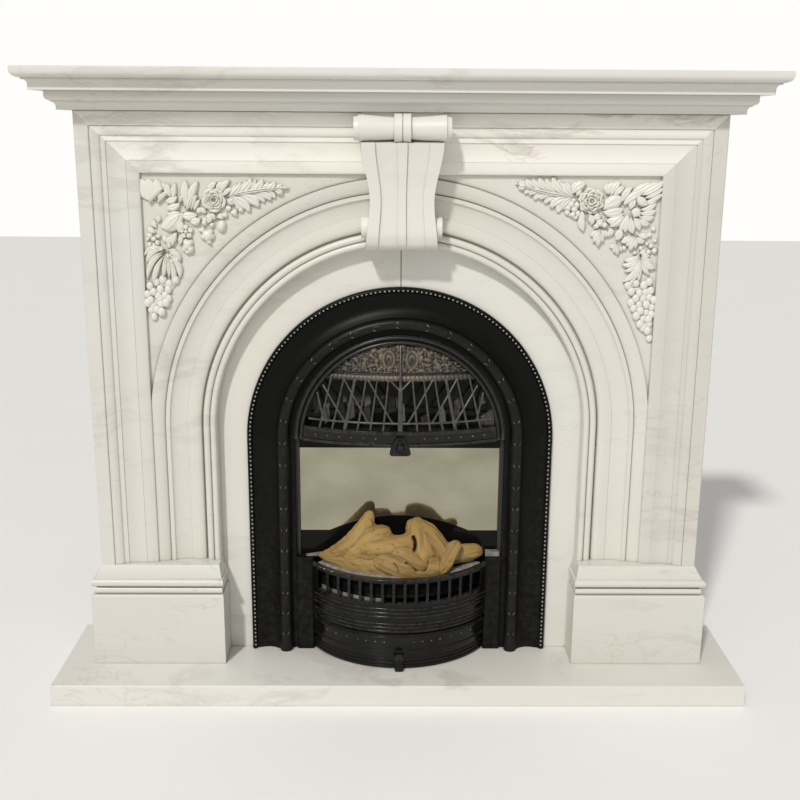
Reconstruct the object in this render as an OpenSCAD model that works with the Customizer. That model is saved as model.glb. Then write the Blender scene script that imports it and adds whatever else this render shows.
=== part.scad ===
// Carved marble chimneypiece with a round arch, fitted with an arched cast-iron electric fire.
// +Z is up, the front faces -Y and the wall is the plane Y = 0. The origin is on the floor,
// at the middle of the wall line. "Depth" below always means the distance in front of the wall.

/* [Hearth] */
// Width of the hearth slab
hearth_w = 1372; // [1320:1:1500]
// Depth of the hearth slab in front of the wall
hearth_d = 268; // [250:1:420]
// Thickness of the hearth slab
hearth_t = 44; // [30:1:60]
// Rounding of the hearth's top edge
hearth_round = 3; // [1:0.5:8]

/* [Surround] */
// Width across the outer faces of the legs
front_w = 1200; // [1180:1:1240]
// Height of the moulded front above the hearth
front_h = 1094; // [1060:1:1160]
// Depth of the front face of the frame
front_d = 156; // [152:1:190]
// Depth of the front face of the slips, where the front pieces end
slip_d = 100; // [80:1:104]
// Thickness of the slips and of the side returns
slab_t = 20; // [15:1:25]

/* [Plinths] */
// Height of the plain plinth blocks
plinth_h = 150; // [110:1:190]
// Height of the moulded plinth caps
cap_h = 58; // [50:1:70]
// How far the plinths stand out from the legs, in front and outside
plinth_out = 20; // [14:1:26]
// How far the plinths stand out beside the arch
plinth_in = 10; // [6:1:16]

/* [Frame moulding] */
// Width of the flat outer border
border_w = 27; // [20:1:32]
// Width of the first ovolo
ovolo_w = 18; // [12:1:22]
// Width of the fillet beside it
fillet_w = 9; // [6:1:12]
// Width of the dished band
band_w = 35; // [28:1:42]
// Width of the inner ovolo, down to the spandrel
inner_w = 23; // [16:1:28]
// Step from the end of the inner ovolo down to the panels
inner_step = 6.5; // [3:0.5:8]
// Depth of the spandrel face
spandrel_d = 132; // [126:1:140]

/* [Arch] */
// Inner radius of the marble arch
arch_r = 364; // [350:1:372]
// Height of the springing line above the hearth
arch_spring = 486; // [440:1:500]
// Radius of the two beads round the opening
bead_r = 6.5; // [4:0.5:8]
// Width of the hollow and its roll
hollow_w = 65; // [56:1:72]
// Width of the fillet inside the outer roll
arch_fillet_w = 8; // [5:1:10]
// Width of the outer roll
roll_w = 28; // [22:1:34]
// Width of the slope between the roll and the spandrel
slope_w = 21; // [14:1:26]

/* [Shelf] */
// Height of the bed moulding
bed_h = 33; // [28:1:44]
// Height of the cornice moulding
cornice_h = 20; // [18:1:30]
// Thickness of the shelf slab
shelf_t = 20; // [18:1:30]
// How far the shelf stands out from the frame on three sides
shelf_out = 82; // [72:1:100]

/* [Keystone] */
// Half width of the console at its top
key_top = 75; // [66:1:84]
// Half width of the console at its waist
key_waist = 59; // [48:1:64]
// Half width of the console at its foot
key_foot = 67; // [58:1:76]
// Radius of the scroll at its ends
scroll_r = 25; // [20:1:26]
// Radius of the scroll at its waist
scroll_waist_r = 20; // [15:1:21]
// Half length of the scroll
scroll_half = 79; // [70:1:84]

/* [Cast arch] */
// Outer radius of the cast-iron arch
cast_r = 307; // [300:1:316]
// Height of its springing line above the hearth
cast_spring = 460; // [430:1:470]
// Radius at the middle of the round column moulding
column_r = 235; // [232:1:240]
// Radius of the column moulding's own section
column_round = 13; // [10:0.5:15]
// Radius of the clear opening of the casting
throat_r = 212; // [206:1:216]

/* [Hood] */
// Radius of the opening inside the hood's rim
hood_open_r = 194; // [184:1:198]
// How far the hood bulges forward in the middle
hood_bulge = 50; // [35:1:60]
// Height of the hood's bottom rail
hood_rail_h = 30; // [22:1:38]
// Number of upright tracery bars on each side
tracery_n = 6; // [4:1:7]
// Width of a tracery bar
tracery_w = 3.4; // [2.4:0.2:5]
// Height of the relief panel's lower edge above the springing line
relief_z = 128; // [110:1:145]

/* [Bowed front] */
// Radius of the bow at its top rim
bow_top_r = 228; // [222:1:234]
// Radius of the bow at the hearth
bow_foot_r = 208; // [202:1:214]
// Half width between the jamb plates
bow_half = 177; // [170:1:182]
// Number of slots in the front bars
slot_n = 15; // [9:2:17]
// Width of a slot
slot_w = 17; // [10:0.5:18]
// Height of the front bars' lower edge above the hearth
bars_foot = 82; // [76:1:92]
// Height of the front bars' top rim above the hearth
bars_top = 202; // [190:1:215]

/* [Fire] */
// Depth of the front face of the flame screen
screen_d = 86; // [84:1:90]
// Thickness of the flame screen
screen_t = 4; // [3:0.5:5]
// Radius of the flicker rod's paddles
paddle_r = 18; // [12:1:22]
// Radius of the blower wheel
blower_r = 24; // [18:1:27]

/* [Fixings] */
// Bore for the wall screws
wall_bore = 7; // [5:0.5:9]
// Thickness of the steel angles
angle_t = 3; // [2:0.5:5]

/* [Hidden] */
$fn = 64;
gap = 0.3;                                   // running clearance between separate pieces
hearth_z = hearth_t;
plinth_z = hearth_z + plinth_h;
leg_z = plinth_z + cap_h;                    // foot of the legs and arch panels
front_z = hearth_z + front_h;
bed_z = front_z + bed_h;
cornice_z = bed_z + cornice_h;
shelf_z = cornice_z + shelf_t;
half_w = front_w / 2;
frame_w = border_w + ovolo_w + fillet_w + band_w + inner_w;
panel_x = half_w - frame_w;                  // half width of the spandrel opening
panel_z = front_z - frame_w;
arch_z = hearth_z + arch_spring;
quirk_r = arch_r + 4 * bead_r;               // outer side of the beads
fillet_r = quirk_r + hollow_w;
roll_in_r = fillet_r + arch_fillet_w;
roll_r = roll_in_r + roll_w;
slope_r = roll_r + slope_w;
cast_z = hearth_z + cast_spring;
slip_half = half_w - slab_t - 50;
slip_top = arch_z + arch_r + 66;
slip_cut_r = cast_r - 15;
return_x = half_w - slab_t;
strip_in = 46;                               // how far the cornice strips reach in from the legs
key_z = arch_z + sqrt(arch_r * arch_r - key_foot * key_foot);
key_back = 110;                              // depth where the console's tenon ends
scroll_z = front_z - scroll_r - 4;
scroll_d = front_d + 34;
key_head = scroll_z - scroll_r;              // top of the console's moulded face
band_r = scroll_r + 1.5;
rail_z = cast_z;
dome_edge_d = 108;                           // depth of the hood's rim plane
dome_half = throat_r - 7;
dome_r = (dome_half * dome_half + hood_bulge * hood_bulge) / (2 * hood_bulge);
dome_d = dome_edge_d + hood_bulge - dome_r;
bow_c = 12;                                  // the bow's centre lies this far behind the wall plane
bow_t = 9;
cover_gap = 6;
cover_top = hearth_z + bars_foot - cover_gap;
tray_z = hearth_z + bars_top - 46;
knob_z = hearth_z + 30;

marble = [0.93, 0.91, 0.87];
iron = [0.09, 0.09, 0.09];

// Points along an elliptic arc, from angle a0 to a1 in n steps.
function arc(cx, cy, rx, ry, a0, a1, n = 8) =
    [for (i = [0:n]) let (a = a0 + (a1 - a0) * i / n) [cx + rx * cos(a), cy + ry * sin(a)]];

// A profile given as [depth, height] turned into the Y-Z plane.
function facing(p) = [for (q = p) [-q[0], q[1]]];

// Smooth step between two values: a + (b - a) * (3 s^2 - 2 s^3).
function ease(a, b, s) = a + (b - a) * s * s * (3 - 2 * s);

// Child outline drawn in X and Z, given thickness from depth d0 to depth d1.
module upright(d0, d1) {
    translate([0, -d0, 0]) rotate([90, 0, 0]) linear_extrude(d1 - d0) children();
}

// Child outline drawn in Y and Z, run along X from x0 to x1.
module along(x0, x1) {
    translate([x0, 0, 0]) rotate([90, 0, 90]) linear_extrude(x1 - x0) children();
}

// Child outline drawn in radius and depth, turned about an axis that points out of the wall.
module arched(z, sweep = 90) {
    translate([0, 0, z]) rotate([90, 0, 0]) rotate_extrude(angle = sweep, $fn = 96) children();
}

// Child made on the right, mirrored to the left.
module left() { mirror([1, 0, 0]) children(); }

// Block whose left, front and right faces follow one profile of [projection, height] points.
// The two runs meet in true mitres; kl and kr scale the projection at the sides.
module moulded_block(prof, xl, xr, back, face, kl = 1, kr = 1) {
    last = len(prof) - 1;
    reach = max([for (q = prof) q[0]]);
    intersection() {
        upright(back, face + reach + 1) polygon(concat(
            [for (q = prof) [xr + kr * q[0], q[1]]],
            [for (i = [last:-1:0]) [xl - kl * prof[i][0], prof[i][1]]]));
        along(xl - reach - 1, xr + reach + 1) polygon(facing(concat(
            [for (q = prof) [face + q[0], q[1]]], [[back, prof[last][1]], [back, prof[0][1]]])));
    }
}

// Marble base
module hearth_slab() {
    r = hearth_round;
    edge = concat([[0, 0], [0, hearth_t - r]], arc(-r, hearth_t - r, r, r, 0, 90, 5));
    color(marble) moulded_block(edge, -hearth_w / 2, hearth_w / 2, 0, hearth_d);
}

// Plain plinth block: a thick front with an outer return that runs back to the wall.
module plinth_block() {
    chamfer = 3;
    edge = [[plinth_out, hearth_z], [plinth_out, plinth_z - chamfer],
        [plinth_out - chamfer, plinth_z]];
    boxed_base(edge);
}

// Moulded cap: a small ovolo, a torus and a sloped weathering up to the leg.
module plinth_cap_block() {
    small = 7;
    torus = 8;
    torus_z = plinth_z + 2 * small + torus + 3;
    edge = concat(arc(plinth_out - 12, plinth_z + small, 6, small, -90, 90, 6),
        arc(plinth_out - torus, torus_z, torus, torus, -90, 90, 8),
        [[plinth_out - torus, torus_z + torus + 1.5], [0, leg_z]]);
    boxed_base(edge);
}

// Right-hand base piece with the given edge, hollowed behind the slip line.
module boxed_base(edge) {
    inner = plinth_in / plinth_out;
    difference() {
        moulded_block(edge, arch_r, half_w, 0, front_d, inner, 1);
        translate([arch_r - 2 * plinth_out, -slip_d, hearth_z - 1])
            cube([return_x - arch_r + 2 * plinth_out, slip_d + 1, leg_z - hearth_z + 2]);
    }
}

module right_plinth() { color(marble) plinth_block(); }
module left_plinth() { color(marble) left() plinth_block(); }
module right_plinth_cap() { color(marble) plinth_cap_block(); }
module left_plinth_cap() { color(marble) left() plinth_cap_block(); }

// Frame
// Section of the frame moulding: [distance in from the outer edge, depth].
function frame_profile() =
    let (o = border_w + ovolo_w, f = o + fillet_w, b = f + band_w, d = front_d, n = 6,
        low = min(spandrel_d + inner_step, d - 15))
    concat([[0, slip_d], [0, d - 1.5], [1.5, d], [border_w - 1.5, d], [border_w, d - 1.5],
            [border_w, d - 5]],
        arc(border_w + 0.5, d - 9, ovolo_w - 0.5, 6.5, 90, 0, 6),
        [[f, d - 9]],
        [for (i = [0:n]) let (s = i / n) [f + band_w * s, d - 10.5 - 2.5 * sin(180 * s) - 2 * s]],
        arc(b, low, inner_w, d - 13 - low, 90, 0, 8),
        [[frame_w, slip_d]]);

module leg_right() {
    intersection() {
        translate([0, 0, leg_z]) linear_extrude(front_z - leg_z)
            polygon([for (q = frame_profile()) [half_w - q[0], -q[1]]]);
        upright(0, front_d + 1) polygon([[panel_x, leg_z], [half_w, leg_z],
            [half_w, front_z], [panel_x, panel_z]]);
    }
}

module header() {
    color(marble) difference() {
        intersection() {
            along(-half_w, half_w)
                polygon(facing([for (q = frame_profile()) [q[1], front_z - q[0]]]));
            upright(0, front_d + 1) polygon([[-half_w, front_z], [half_w, front_z],
                [panel_x, panel_z], [-panel_x, panel_z]]);
        }
        key_seat();
    }
}

module right_leg() { color(marble) leg_right(); }
module left_leg() { color(marble) left() leg_right(); }

// Side slab that closes the leg back to the wall.
module side_return() {
    translate([return_x, -slip_d, leg_z]) cube([slab_t, slip_d, front_z - leg_z]);
}
module right_return() { color(marble) side_return(); }
module left_return() { color(marble) left() side_return(); }

// Arch
// Section of the arch moulding: [radius, depth], from the opening out to the spandrel.
function arch_profile() =
    let (h = spandrel_d, q = quirk_r, crown = q + hollow_w * 0.48, base = h - 8)
    concat([[arch_r, slip_d]],
        arc(arch_r + bead_r, base, bead_r, bead_r, 180, 0, 8),
        arc(arch_r + 3 * bead_r, base, bead_r, bead_r, 180, 0, 8),
        [[q, h - 17], [q + 3, h - 17]],
        arc(q + 17, h - 15, 14, 8, 180, 90, 5),
        [[crown, h - 9]],
        arc(crown, h - 1, fillet_r - crown, 9, 270, 360, 8),
        [[roll_in_r, h - 1]],
        arc(roll_r, h - 7, roll_w, 11, 180, 90, 8),
        arc(slope_r, h - 4, slope_w, 4, 180, 90, 5),
        [[slope_r, slip_d]]);

// One half of the arched front: spandrel, ring and the leg below the springing line.
module arch_half() {
    difference() {
        union() {
            upright(slip_d, spandrel_d) difference() {
                translate([0, arch_z]) square([panel_x, panel_z - arch_z]);
                translate([0, arch_z]) circle(slope_r, $fn = 96);
            }
            intersection() {
                arched(arch_z) polygon(arch_profile());
                upright(0, front_d) translate([0, arch_z]) square([panel_x, panel_z - arch_z]);
            }
            translate([0, 0, leg_z]) linear_extrude(arch_z - leg_z) intersection() {
                polygon([for (q = arch_profile()) [q[0], -q[1]]]);
                translate([0, -front_d]) square([panel_x, front_d]);
            }
        }
        key_seat();
    }
}
module right_arch_panel() { color(marble) arch_half(); }
module left_arch_panel() { color(marble) left() arch_half(); }

// Carved spandrel ornament
carve_d = spandrel_d;
corner_room = norm([panel_x, panel_z - arch_z]) - slope_r;
drawn_room = 184;                            // corner room that the garland is drawn for
fit = corner_room / drawn_room;
carve_x = panel_x - 8 * fit;
carve_z = panel_z - 8 * fit;

// Leaves of the garland: [left of the corner, below the corner, length, width, angle].
leaves = [[150, 30, 132, 46, 172], [160, 38, 80, 30, 180], [150, 24, 84, 28, 164],
    [66, 60, 76, 44, 122], [6, 4, 96, 44, 216], [60, 58, 74, 40, 60], [92, 74, 62, 34, 250],
    [62, 104, 60, 34, 262], [34, 128, 66, 32, 240], [30, 130, 64, 30, 286], [34, 90, 60, 36, 90]];

// Pointed leaf outline, len long and wid wide, with its root at the origin.
module leaf_outline(len, wid) {
    r = (len * len / 4 + wid * wid / 4) / wid;
    intersection() {
        translate([len / 2, r - wid / 2]) circle(r, $fn = 180);
        translate([len / 2, wid / 2 - r]) circle(r, $fn = 180);
    }
}

// All leaves of the garland, with their width and length scaled about their roots.
module leaf_layer(long, wide) {
    for (q = leaves) translate([carve_x - fit * q[0], carve_z - fit * q[1]]) rotate(q[4])
        translate([fit * q[2] * (1 - long) / 2, 0]) leaf_outline(fit * long * q[2], fit * wide * q[3]);
}

// Berry as a cap of a ball that stands on the ground, left of and below the corner.
module berry(x, z, r) {
    translate([carve_x - fit * x, -carve_d, carve_z - fit * z]) rotate([90, 0, 0]) rotate_extrude()
        intersection() {
            translate([0, 0.35 * fit * r]) circle(fit * r);
            square([2 * r, 2 * r]);
        }
}

// Five-petalled rose outline.
module rose_outline(x, z, r) {
    translate([carve_x - fit * x, carve_z - fit * z]) for (a = [0:72:359]) rotate(a + 18)
        translate([fit * r * 0.55, 0]) circle(fit * r * 0.48);
}

// Bunch of grapes that hangs and tapers to its tip.
module grapes(x, z, r, rows) {
    for (j = [0:rows - 1]) {
        n = 4 - floor(j / 2);
        for (i = [0:n - 1]) berry(x + (i - (n - 1) / 2) * 1.62 * r + 0.5 * j, z + j * 1.5 * r, r);
    }
}

// Garland in the spandrel corner: a spray of leaves along the top, roses and fruit in the
// corner and a bunch of grapes that hangs beside the leg.
module garland() {
    union() {
        upright(carve_d, carve_d + 6) union() {
            leaf_layer(1, 1);
            rose_outline(130, 40, 25);
            rose_outline(78, 92, 19);
        }
        upright(carve_d, carve_d + 9) leaf_layer(0.84, 0.34);
        upright(carve_d, carve_d + 10) {
            translate([carve_x - fit * 130, carve_z - fit * 40]) circle(fit * 14);
            translate([carve_x - fit * 78, carve_z - fit * 92]) circle(fit * 11);
        }
        berry(130, 40, 10);
        berry(78, 92, 8);
        berry(150, 74, 10);
        berry(132, 80, 10);
        berry(16, 116, 9);
        berry(30, 104, 9);
        berry(14, 98, 9);
        grapes(28, 184, 9, 7);
    }
}
module right_carving() { color(marble) garland(); }
module left_carving() { color(marble) left() garland(); }

// Keystone
key_waist_z = key_z + 0.47 * (key_head - key_z);
key_roll_z = key_z + 38;

// Half width of the console at height z.
function key_half(z) = z > key_waist_z
    ? ease(key_waist, key_top, min(1, (z - key_waist_z) / (key_head - key_waist_z)))
    : ease(key_foot, key_waist, (z - key_z) / (key_waist_z - key_z));

// Outline of the console from the front, between two shares of its half width.
module key_outline(lo = -1, hi = 1) {
    n = 14;
    zs = [for (i = [0:n]) key_z + (key_head - key_z) * i / n];
    polygon(concat([for (z = zs) [hi * key_half(z), z]], [[hi * key_top, front_z]],
        [[lo * key_top, front_z]], [for (i = [n:-1:0]) [lo * key_half(zs[i]), zs[i]]]));
}

// Side section of the console, with its face drawn back by a depth.
function key_section(sunk = 0) =
    let (d0 = front_d + 30 - sunk, n = 8)
    concat([[key_back, key_z], [key_back, front_z], [front_d + 16, front_z],
            [front_d + 16, key_head + 8]],
        [for (i = [n:-1:0]) let (s = i / n)
            [d0 + 22 * s * s, key_roll_z + (key_head - key_roll_z) * s]],
        arc(front_d + 2, key_roll_z, 28 - sunk, key_roll_z - key_z, 0, -90, 6));

// Space that the console's tenon fills in the header and in both arch panels.
module key_seat() {
    upright(key_back, front_d + 1) key_outline();
}

// Outline of the scroll as [radius, place along its length].
function scroll_profile() =
    let (s = scroll_half, disc = 9, band = 15)
    [[0, -s - disc], [scroll_r - 4, -s - disc], [scroll_r - 3, -s], [scroll_r, -s],
        [(scroll_r + scroll_waist_r) / 2 - 0.8, -s * 0.5], [scroll_waist_r, -band],
        [band_r, -band], [band_r, -1], [band_r - 2, -1], [band_r - 2, 1], [band_r, 1],
        [band_r, band], [scroll_waist_r, band],
        [(scroll_r + scroll_waist_r) / 2 - 0.8, s * 0.5], [scroll_r, s], [scroll_r - 3, s],
        [scroll_r - 4, s + disc], [0, s + disc]];

module scroll_form() {
    translate([0, -scroll_d, scroll_z]) rotate([0, 90, 0]) rotate_extrude()
        polygon(scroll_profile());
}

module keystone_scroll() { color(marble) scroll_form(); }

module keystone_console() {
    flute = 4;
    wide = key_top + 20;
    color(marble) difference() {
        union() {
            intersection() {
                upright(key_back, front_d + 60) key_outline();
                along(-wide, wide) polygon(facing(key_section(flute)));
            }
            intersection() {
                upright(key_back, front_d + 60) {
                    key_outline(-1, -0.66);
                    key_outline(-0.12, 0.12);
                    key_outline(0.66, 1);
                }
                along(-wide, wide) polygon(facing(key_section()));
            }
            translate([-key_foot - 8, -front_d - 4, key_roll_z + 4]) rotate([0, 90, 0])
                cylinder(h = 2 * key_foot + 16, r = 20);
        }
        scroll_form();
    }
}

// Cornice and shelf
// Section of the bed moulding: cavetto, fillet and ovolo under a square edge.
bed_profile = concat([[22, front_z], [22, front_z + 5]],
    arc(30, front_z + 5, 8, 9, 180, 90, 6), [[30, front_z + 15.5]],
    arc(31, front_z + 24, 7, 8, 270, 360, 6), [[38, bed_z]]);

// Section of the cornice moulding: fascia and cavetto.
cornice_profile = concat([[58.5, bed_z], [58.5, bed_z + 9]],
    arc(66, bed_z + 9, 7.5, 8.5, 180, 90, 6), [[67.5, bed_z + 17.5], [67.5, cornice_z]]);

// Section of the shelf: ovolo below a square edge.
shelf_profile = concat(arc(shelf_out - 14, cornice_z + 12, 14, 12, 270, 360, 8),
    [[shelf_out, shelf_z - 1.5], [shelf_out - 1.5, shelf_z]]);

// Strip of moulding on three sides of the front, open behind.
module cornice_ring(prof) {
    top = prof[len(prof) - 1][1];
    inner_x = half_w - strip_in;
    inner_d = front_d - strip_in;
    difference() {
        moulded_block(prof, -half_w, half_w, 0, front_d);
        translate([-inner_x, -inner_d, prof[0][1] - 1])
            cube([2 * inner_x, inner_d + 1, top - prof[0][1] + 2]);
    }
}

// Front run of a cornice strip, cut to its mitres.
module front_run(prof) {
    far = shelf_out + 5;
    intersection() {
        cornice_ring(prof);
        translate([0, 0, prof[0][1] - 1]) linear_extrude(bed_h + cornice_h)
            polygon([[-half_w - far, -front_d - far], [half_w + far, -front_d - far],
                [half_w - strip_in, -front_d + strip_in],
                [-half_w + strip_in, -front_d + strip_in]]);
    }
}

// Right-hand return of a cornice strip, cut to its mitre.
module side_run(prof) {
    far = shelf_out + 5;
    intersection() {
        cornice_ring(prof);
        translate([0, 0, prof[0][1] - 1]) linear_extrude(bed_h + cornice_h)
            polygon([[half_w + far, -front_d - far], [half_w + far, 1],
                [half_w - strip_in, 1], [half_w - strip_in, -front_d + strip_in]]);
    }
}

module bed_front() { color(marble) front_run(bed_profile); }
module bed_right_return() { color(marble) side_run(bed_profile); }
module bed_left_return() { color(marble) left() side_run(bed_profile); }
module cornice_front() { color(marble) front_run(cornice_profile); }
module cornice_right_return() { color(marble) side_run(cornice_profile); }
module cornice_left_return() { color(marble) left() side_run(cornice_profile); }
module shelf_slab() {
    color(marble) moulded_block(shelf_profile, -half_w, half_w, 0, front_d);
}

// Slips, blocks and angles
module slip_half_panel() {
    upright(slip_d - slab_t, slip_d) difference() {
        translate([0, hearth_z]) square([slip_half, slip_top - hearth_z]);
        translate([0, cast_z]) circle(slip_cut_r, $fn = 96);
        translate([0, hearth_z - 1]) square([slip_cut_r, cast_z - hearth_z + 1]);
    }
}
module right_slip() { color(marble) slip_half_panel(); }
module left_slip() { color(marble) left() slip_half_panel(); }

// Stone blocks glued into the corners behind the legs.
module corner_blocks() {
    side = 40;
    tall = 70;
    clear = front_z - leg_z - tall - 60;
    color([0.8, 0.79, 0.76]) for (m = [0, 1]) mirror([m, 0, 0]) for (i = [0:2])
        translate([return_x - side, -slip_d, leg_z + 30 + i * clear / 2])
            cube([side, side, tall]);
}

// Steel angles that screw the returns to the wall.
module wall_angles() {
    tall = 50;
    flange = 42;
    color("silver") for (m = [0, 1]) mirror([m, 0, 0]) for (z = [leg_z + 200, front_z - 230])
        translate([return_x, 0, z]) difference() {
            union() {
                translate([-angle_t, -flange, 0]) cube([angle_t, flange, tall]);
                translate([-flange, -angle_t, 0]) cube([flange, angle_t, tall]);
            }
            translate([-flange / 2, 1, tall / 2]) rotate([90, 0, 0])
                cylinder(h = angle_t + 2, d = wall_bore);
        }
}

// Cast-iron arch
cast_back = screen_d + 2;
ledge_w = 10;
ledge_d = screen_d + 15.5;
ledge_z = hearth_z + bars_top - 70;          // seat of the front bars' lugs

// Section of the casting: [radius, depth], from its pearled rim in to the throat.
function cast_profile() =
    let (rim = 5.5, r0 = cast_r - 2 * rim - 1.5, r1 = column_r + column_round, n = 8)
    concat([[cast_r, slip_d]],
        arc(cast_r - rim, slip_d + 6, rim, rim, 0, 180, 8),
        [for (i = [0:n]) let (s = i / n, up = max(0, 2 * s - 1)) [r0 + (r1 - r0) * s,
            slip_d + 6 - 5 * sin(180 * s) + 6 * up * up]],
        arc(column_r, slip_d + 12, column_round, column_round, 10, 180, 12),
        [[column_r - column_round, slip_d + 4], [throat_r, slip_d + 4], [throat_r, cast_back],
            [slip_cut_r - gap, cast_back], [slip_cut_r - gap, slip_d]]);

module cast_arch() {
    color(iron) union() {
        arched(cast_z, 180) polygon(cast_profile());
        for (m = [0, 1]) mirror([m, 0, 0]) translate([0, 0, hearth_z])
            linear_extrude(cast_z - hearth_z) polygon([for (q = cast_profile()) [q[0], -q[1]]]);
    }
}

// Flat jamb plate beside the bowed front, with a small cap and a ledge that carries the bars.
module jamb_plate() {
    top = hearth_z + bars_top + 4;
    x0 = bow_half + gap;
    translate([x0 - ledge_w, -ledge_d, ledge_z - 8]) cube([ledge_w + 1, ledge_d - cast_back, 8]);
    translate([0, 0, hearth_z]) linear_extrude(top - hearth_z - 4)
        polygon([[x0, -cast_back], [x0, -slip_d - 8], [x0 + 2, -slip_d - 10],
            [throat_r - 2, -slip_d - 10], [throat_r, -slip_d - 8], [throat_r, -cast_back]]);
    translate([x0, -slip_d - 12, top - 4]) cube([throat_r - x0, slip_d + 12 - cast_back, 4]);
}
module right_jamb_plate() { color(iron) jamb_plate(); }
module left_jamb_plate() { color(iron) left() jamb_plate(); }

// Hood
// Half-round rim with two beads and a hollow between them.
module hood_rim() {
    bead = 3.5;
    base = slip_d + 4;
    color(iron) arched(cast_z, 180) polygon(concat(
        [[throat_r, base], [throat_r, dome_edge_d]],
        arc(throat_r - bead - 1, dome_edge_d, bead, bead, 0, 180, 8),
        [[throat_r - 2 * bead - 3, dome_edge_d - 2], [hood_open_r + 2 * bead + 1, dome_edge_d - 2]],
        arc(hood_open_r + bead, dome_edge_d, bead, bead, 0, 180, 8),
        [[hood_open_r, base]]));
}

// Shell of the hood's shallow dome, between two offsets from its face.
module dome_shell(inner, outer) {
    translate([0, -dome_d, cast_z]) difference() {
        sphere(dome_r + outer, $fn = 96);
        sphere(dome_r + inner, $fn = 96);
    }
}

// Band of the dome that stands out by out, between two heights above the springing line.
module rail_band(out, z0, z1) {
    intersection() {
        dome_shell(-4, out);
        upright(dome_edge_d - 10, dome_edge_d + hood_bulge + 10) translate([0, cast_z])
            intersection() {
                circle(hood_open_r - 0.2, $fn = 96);
                translate([-hood_open_r, z0]) square([2 * hood_open_r, z1 - z0]);
            }
    }
}

// Bottom rail of the hood: a band of the dome with a bead along each edge.
module hood_rail() {
    lip = 6;
    color(iron) union() {
        rail_band(2, 0, hood_rail_h);
        for (z = [0, hood_rail_h - lip]) rail_band(5, z, z + lip);
    }
}

// Straight bar between two points of the tracery.
module bar(a, b, w = tracery_w) {
    run = b - a;
    translate(a) rotate(atan2(run[1], run[0])) translate([-w / 2, -w / 2])
        square([norm(run) + w, w]);
}

// Tracery drawn flat: leaning bars, crossing bars, a middle stile with two arms and a rail.
module tracery_outline() {
    foot = hood_rail_h - 2;
    rail = hood_rail_h + 14;
    pitch = 25.4;
    first = 34;
    for (s = [-1, 1], i = [0:tracery_n - 1]) {
        x = first + pitch * i;
        lean = 12 + 4 * min(i, 4);
        bar([s * x, foot], [s * (x - lean * 0.85), relief_z], i == 3 ? 1.6 * tracery_w : tracery_w);
    }
    for (s = [-1, 1], i = [0:3]) {
        x = 64 + 48 * i;
        drop = [0, 0, 4, 20][i];
        bar([s * min(x, 166), relief_z - drop * 1.4], [s * (x - 50 - drop * 0.3), rail]);
    }
    for (s = [-1, 1]) bar([s * 20, relief_z], [0, relief_z - 18]);
    bar([0, foot], [0, hood_open_r], 1.7 * tracery_w);
    bar([-hood_open_r, rail], [hood_open_r, rail]);
}

// Pierced grille of the hood: the flat tracery cut from the dome.
module hood_tracery() {
    color(iron) intersection() {
        dome_shell(-4, 0);
        upright(dome_edge_d - 4, dome_edge_d + hood_bulge + 4) translate([0, cast_z])
            intersection() {
                tracery_outline();
                circle(hood_open_r - 0.2, $fn = 96);
                translate([-hood_open_r, hood_rail_h + 0.2]) square([2 * hood_open_r, hood_open_r]);
            }
    }
}

// Relief panel at the top of the hood, with a scalloped lower edge and two ovals.
module hood_relief() {
    lobes = 12;
    chord = sqrt(hood_open_r * hood_open_r - relief_z * relief_z);
    color([0.42, 0.36, 0.27]) {
        intersection() {
            dome_shell(-11, -5);
            upright(dome_edge_d - 14, dome_edge_d + hood_bulge) translate([0, cast_z])
                intersection() {
                    circle(hood_open_r - 0.2, $fn = 96);
                    union() {
                        translate([-hood_open_r, relief_z]) square([2 * hood_open_r, hood_open_r]);
                        for (i = [0:lobes - 1])
                            translate([chord * (2 * i + 1 - lobes) / lobes, relief_z])
                                circle(chord / lobes * 0.95, $fn = 24);
                    }
                }
        }
        for (s = [-1, 1]) intersection() {
            dome_shell(-8, -2);
            upright(dome_edge_d - 14, dome_edge_d + hood_bulge)
                translate([s * 21, cast_z + relief_z + 28]) difference() {
                    circle(16);
                    circle(10);
                }
        }
    }
}

// Boss in the middle of the bottom rail: a shield with a round knob.
module hood_boss() {
    d = dome_edge_d + hood_bulge;
    color(iron) difference() {
        union() {
            upright(d - 4, d + 14) translate([0, rail_z]) polygon([[-21, -12], [-17, -16],
                [17, -16], [21, -12], [19, -4], [14, 8], [7, 20], [-7, 20], [-14, 8], [-19, -4]]);
            translate([0, -d - 14, rail_z + 1]) rotate([90, 0, 0]) cylinder(h = 5, r1 = 9, r2 = 6);
        }
        translate([0, -dome_d, cast_z]) sphere(dome_r + 5, $fn = 240);
    }
}

// Flame screen and fire box
box_half = throat_r + 8;
box_top = cast_z + 184;
box_t = 2;
box_foot = hearth_z;
box_back = 16;                               // clear of the wall, for the cable gland
gland_x = box_half - 26;
gland_z = box_foot + 50;

module flame_screen() {
    color([0.75, 0.78, 0.78]) translate([-box_half, -screen_d, tray_z])
        cube([2 * box_half, screen_t, box_top - tray_z]);
}

module screen_trims() {
    w = 8;
    z0 = hearth_z + bars_top + 4 + gap;
    color("dimgray") for (m = [0, 1]) mirror([m, 0, 0])
        translate([throat_r - gap - w, -screen_d - 7, z0]) cube([w, 7, cast_z - z0]);
}

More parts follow.
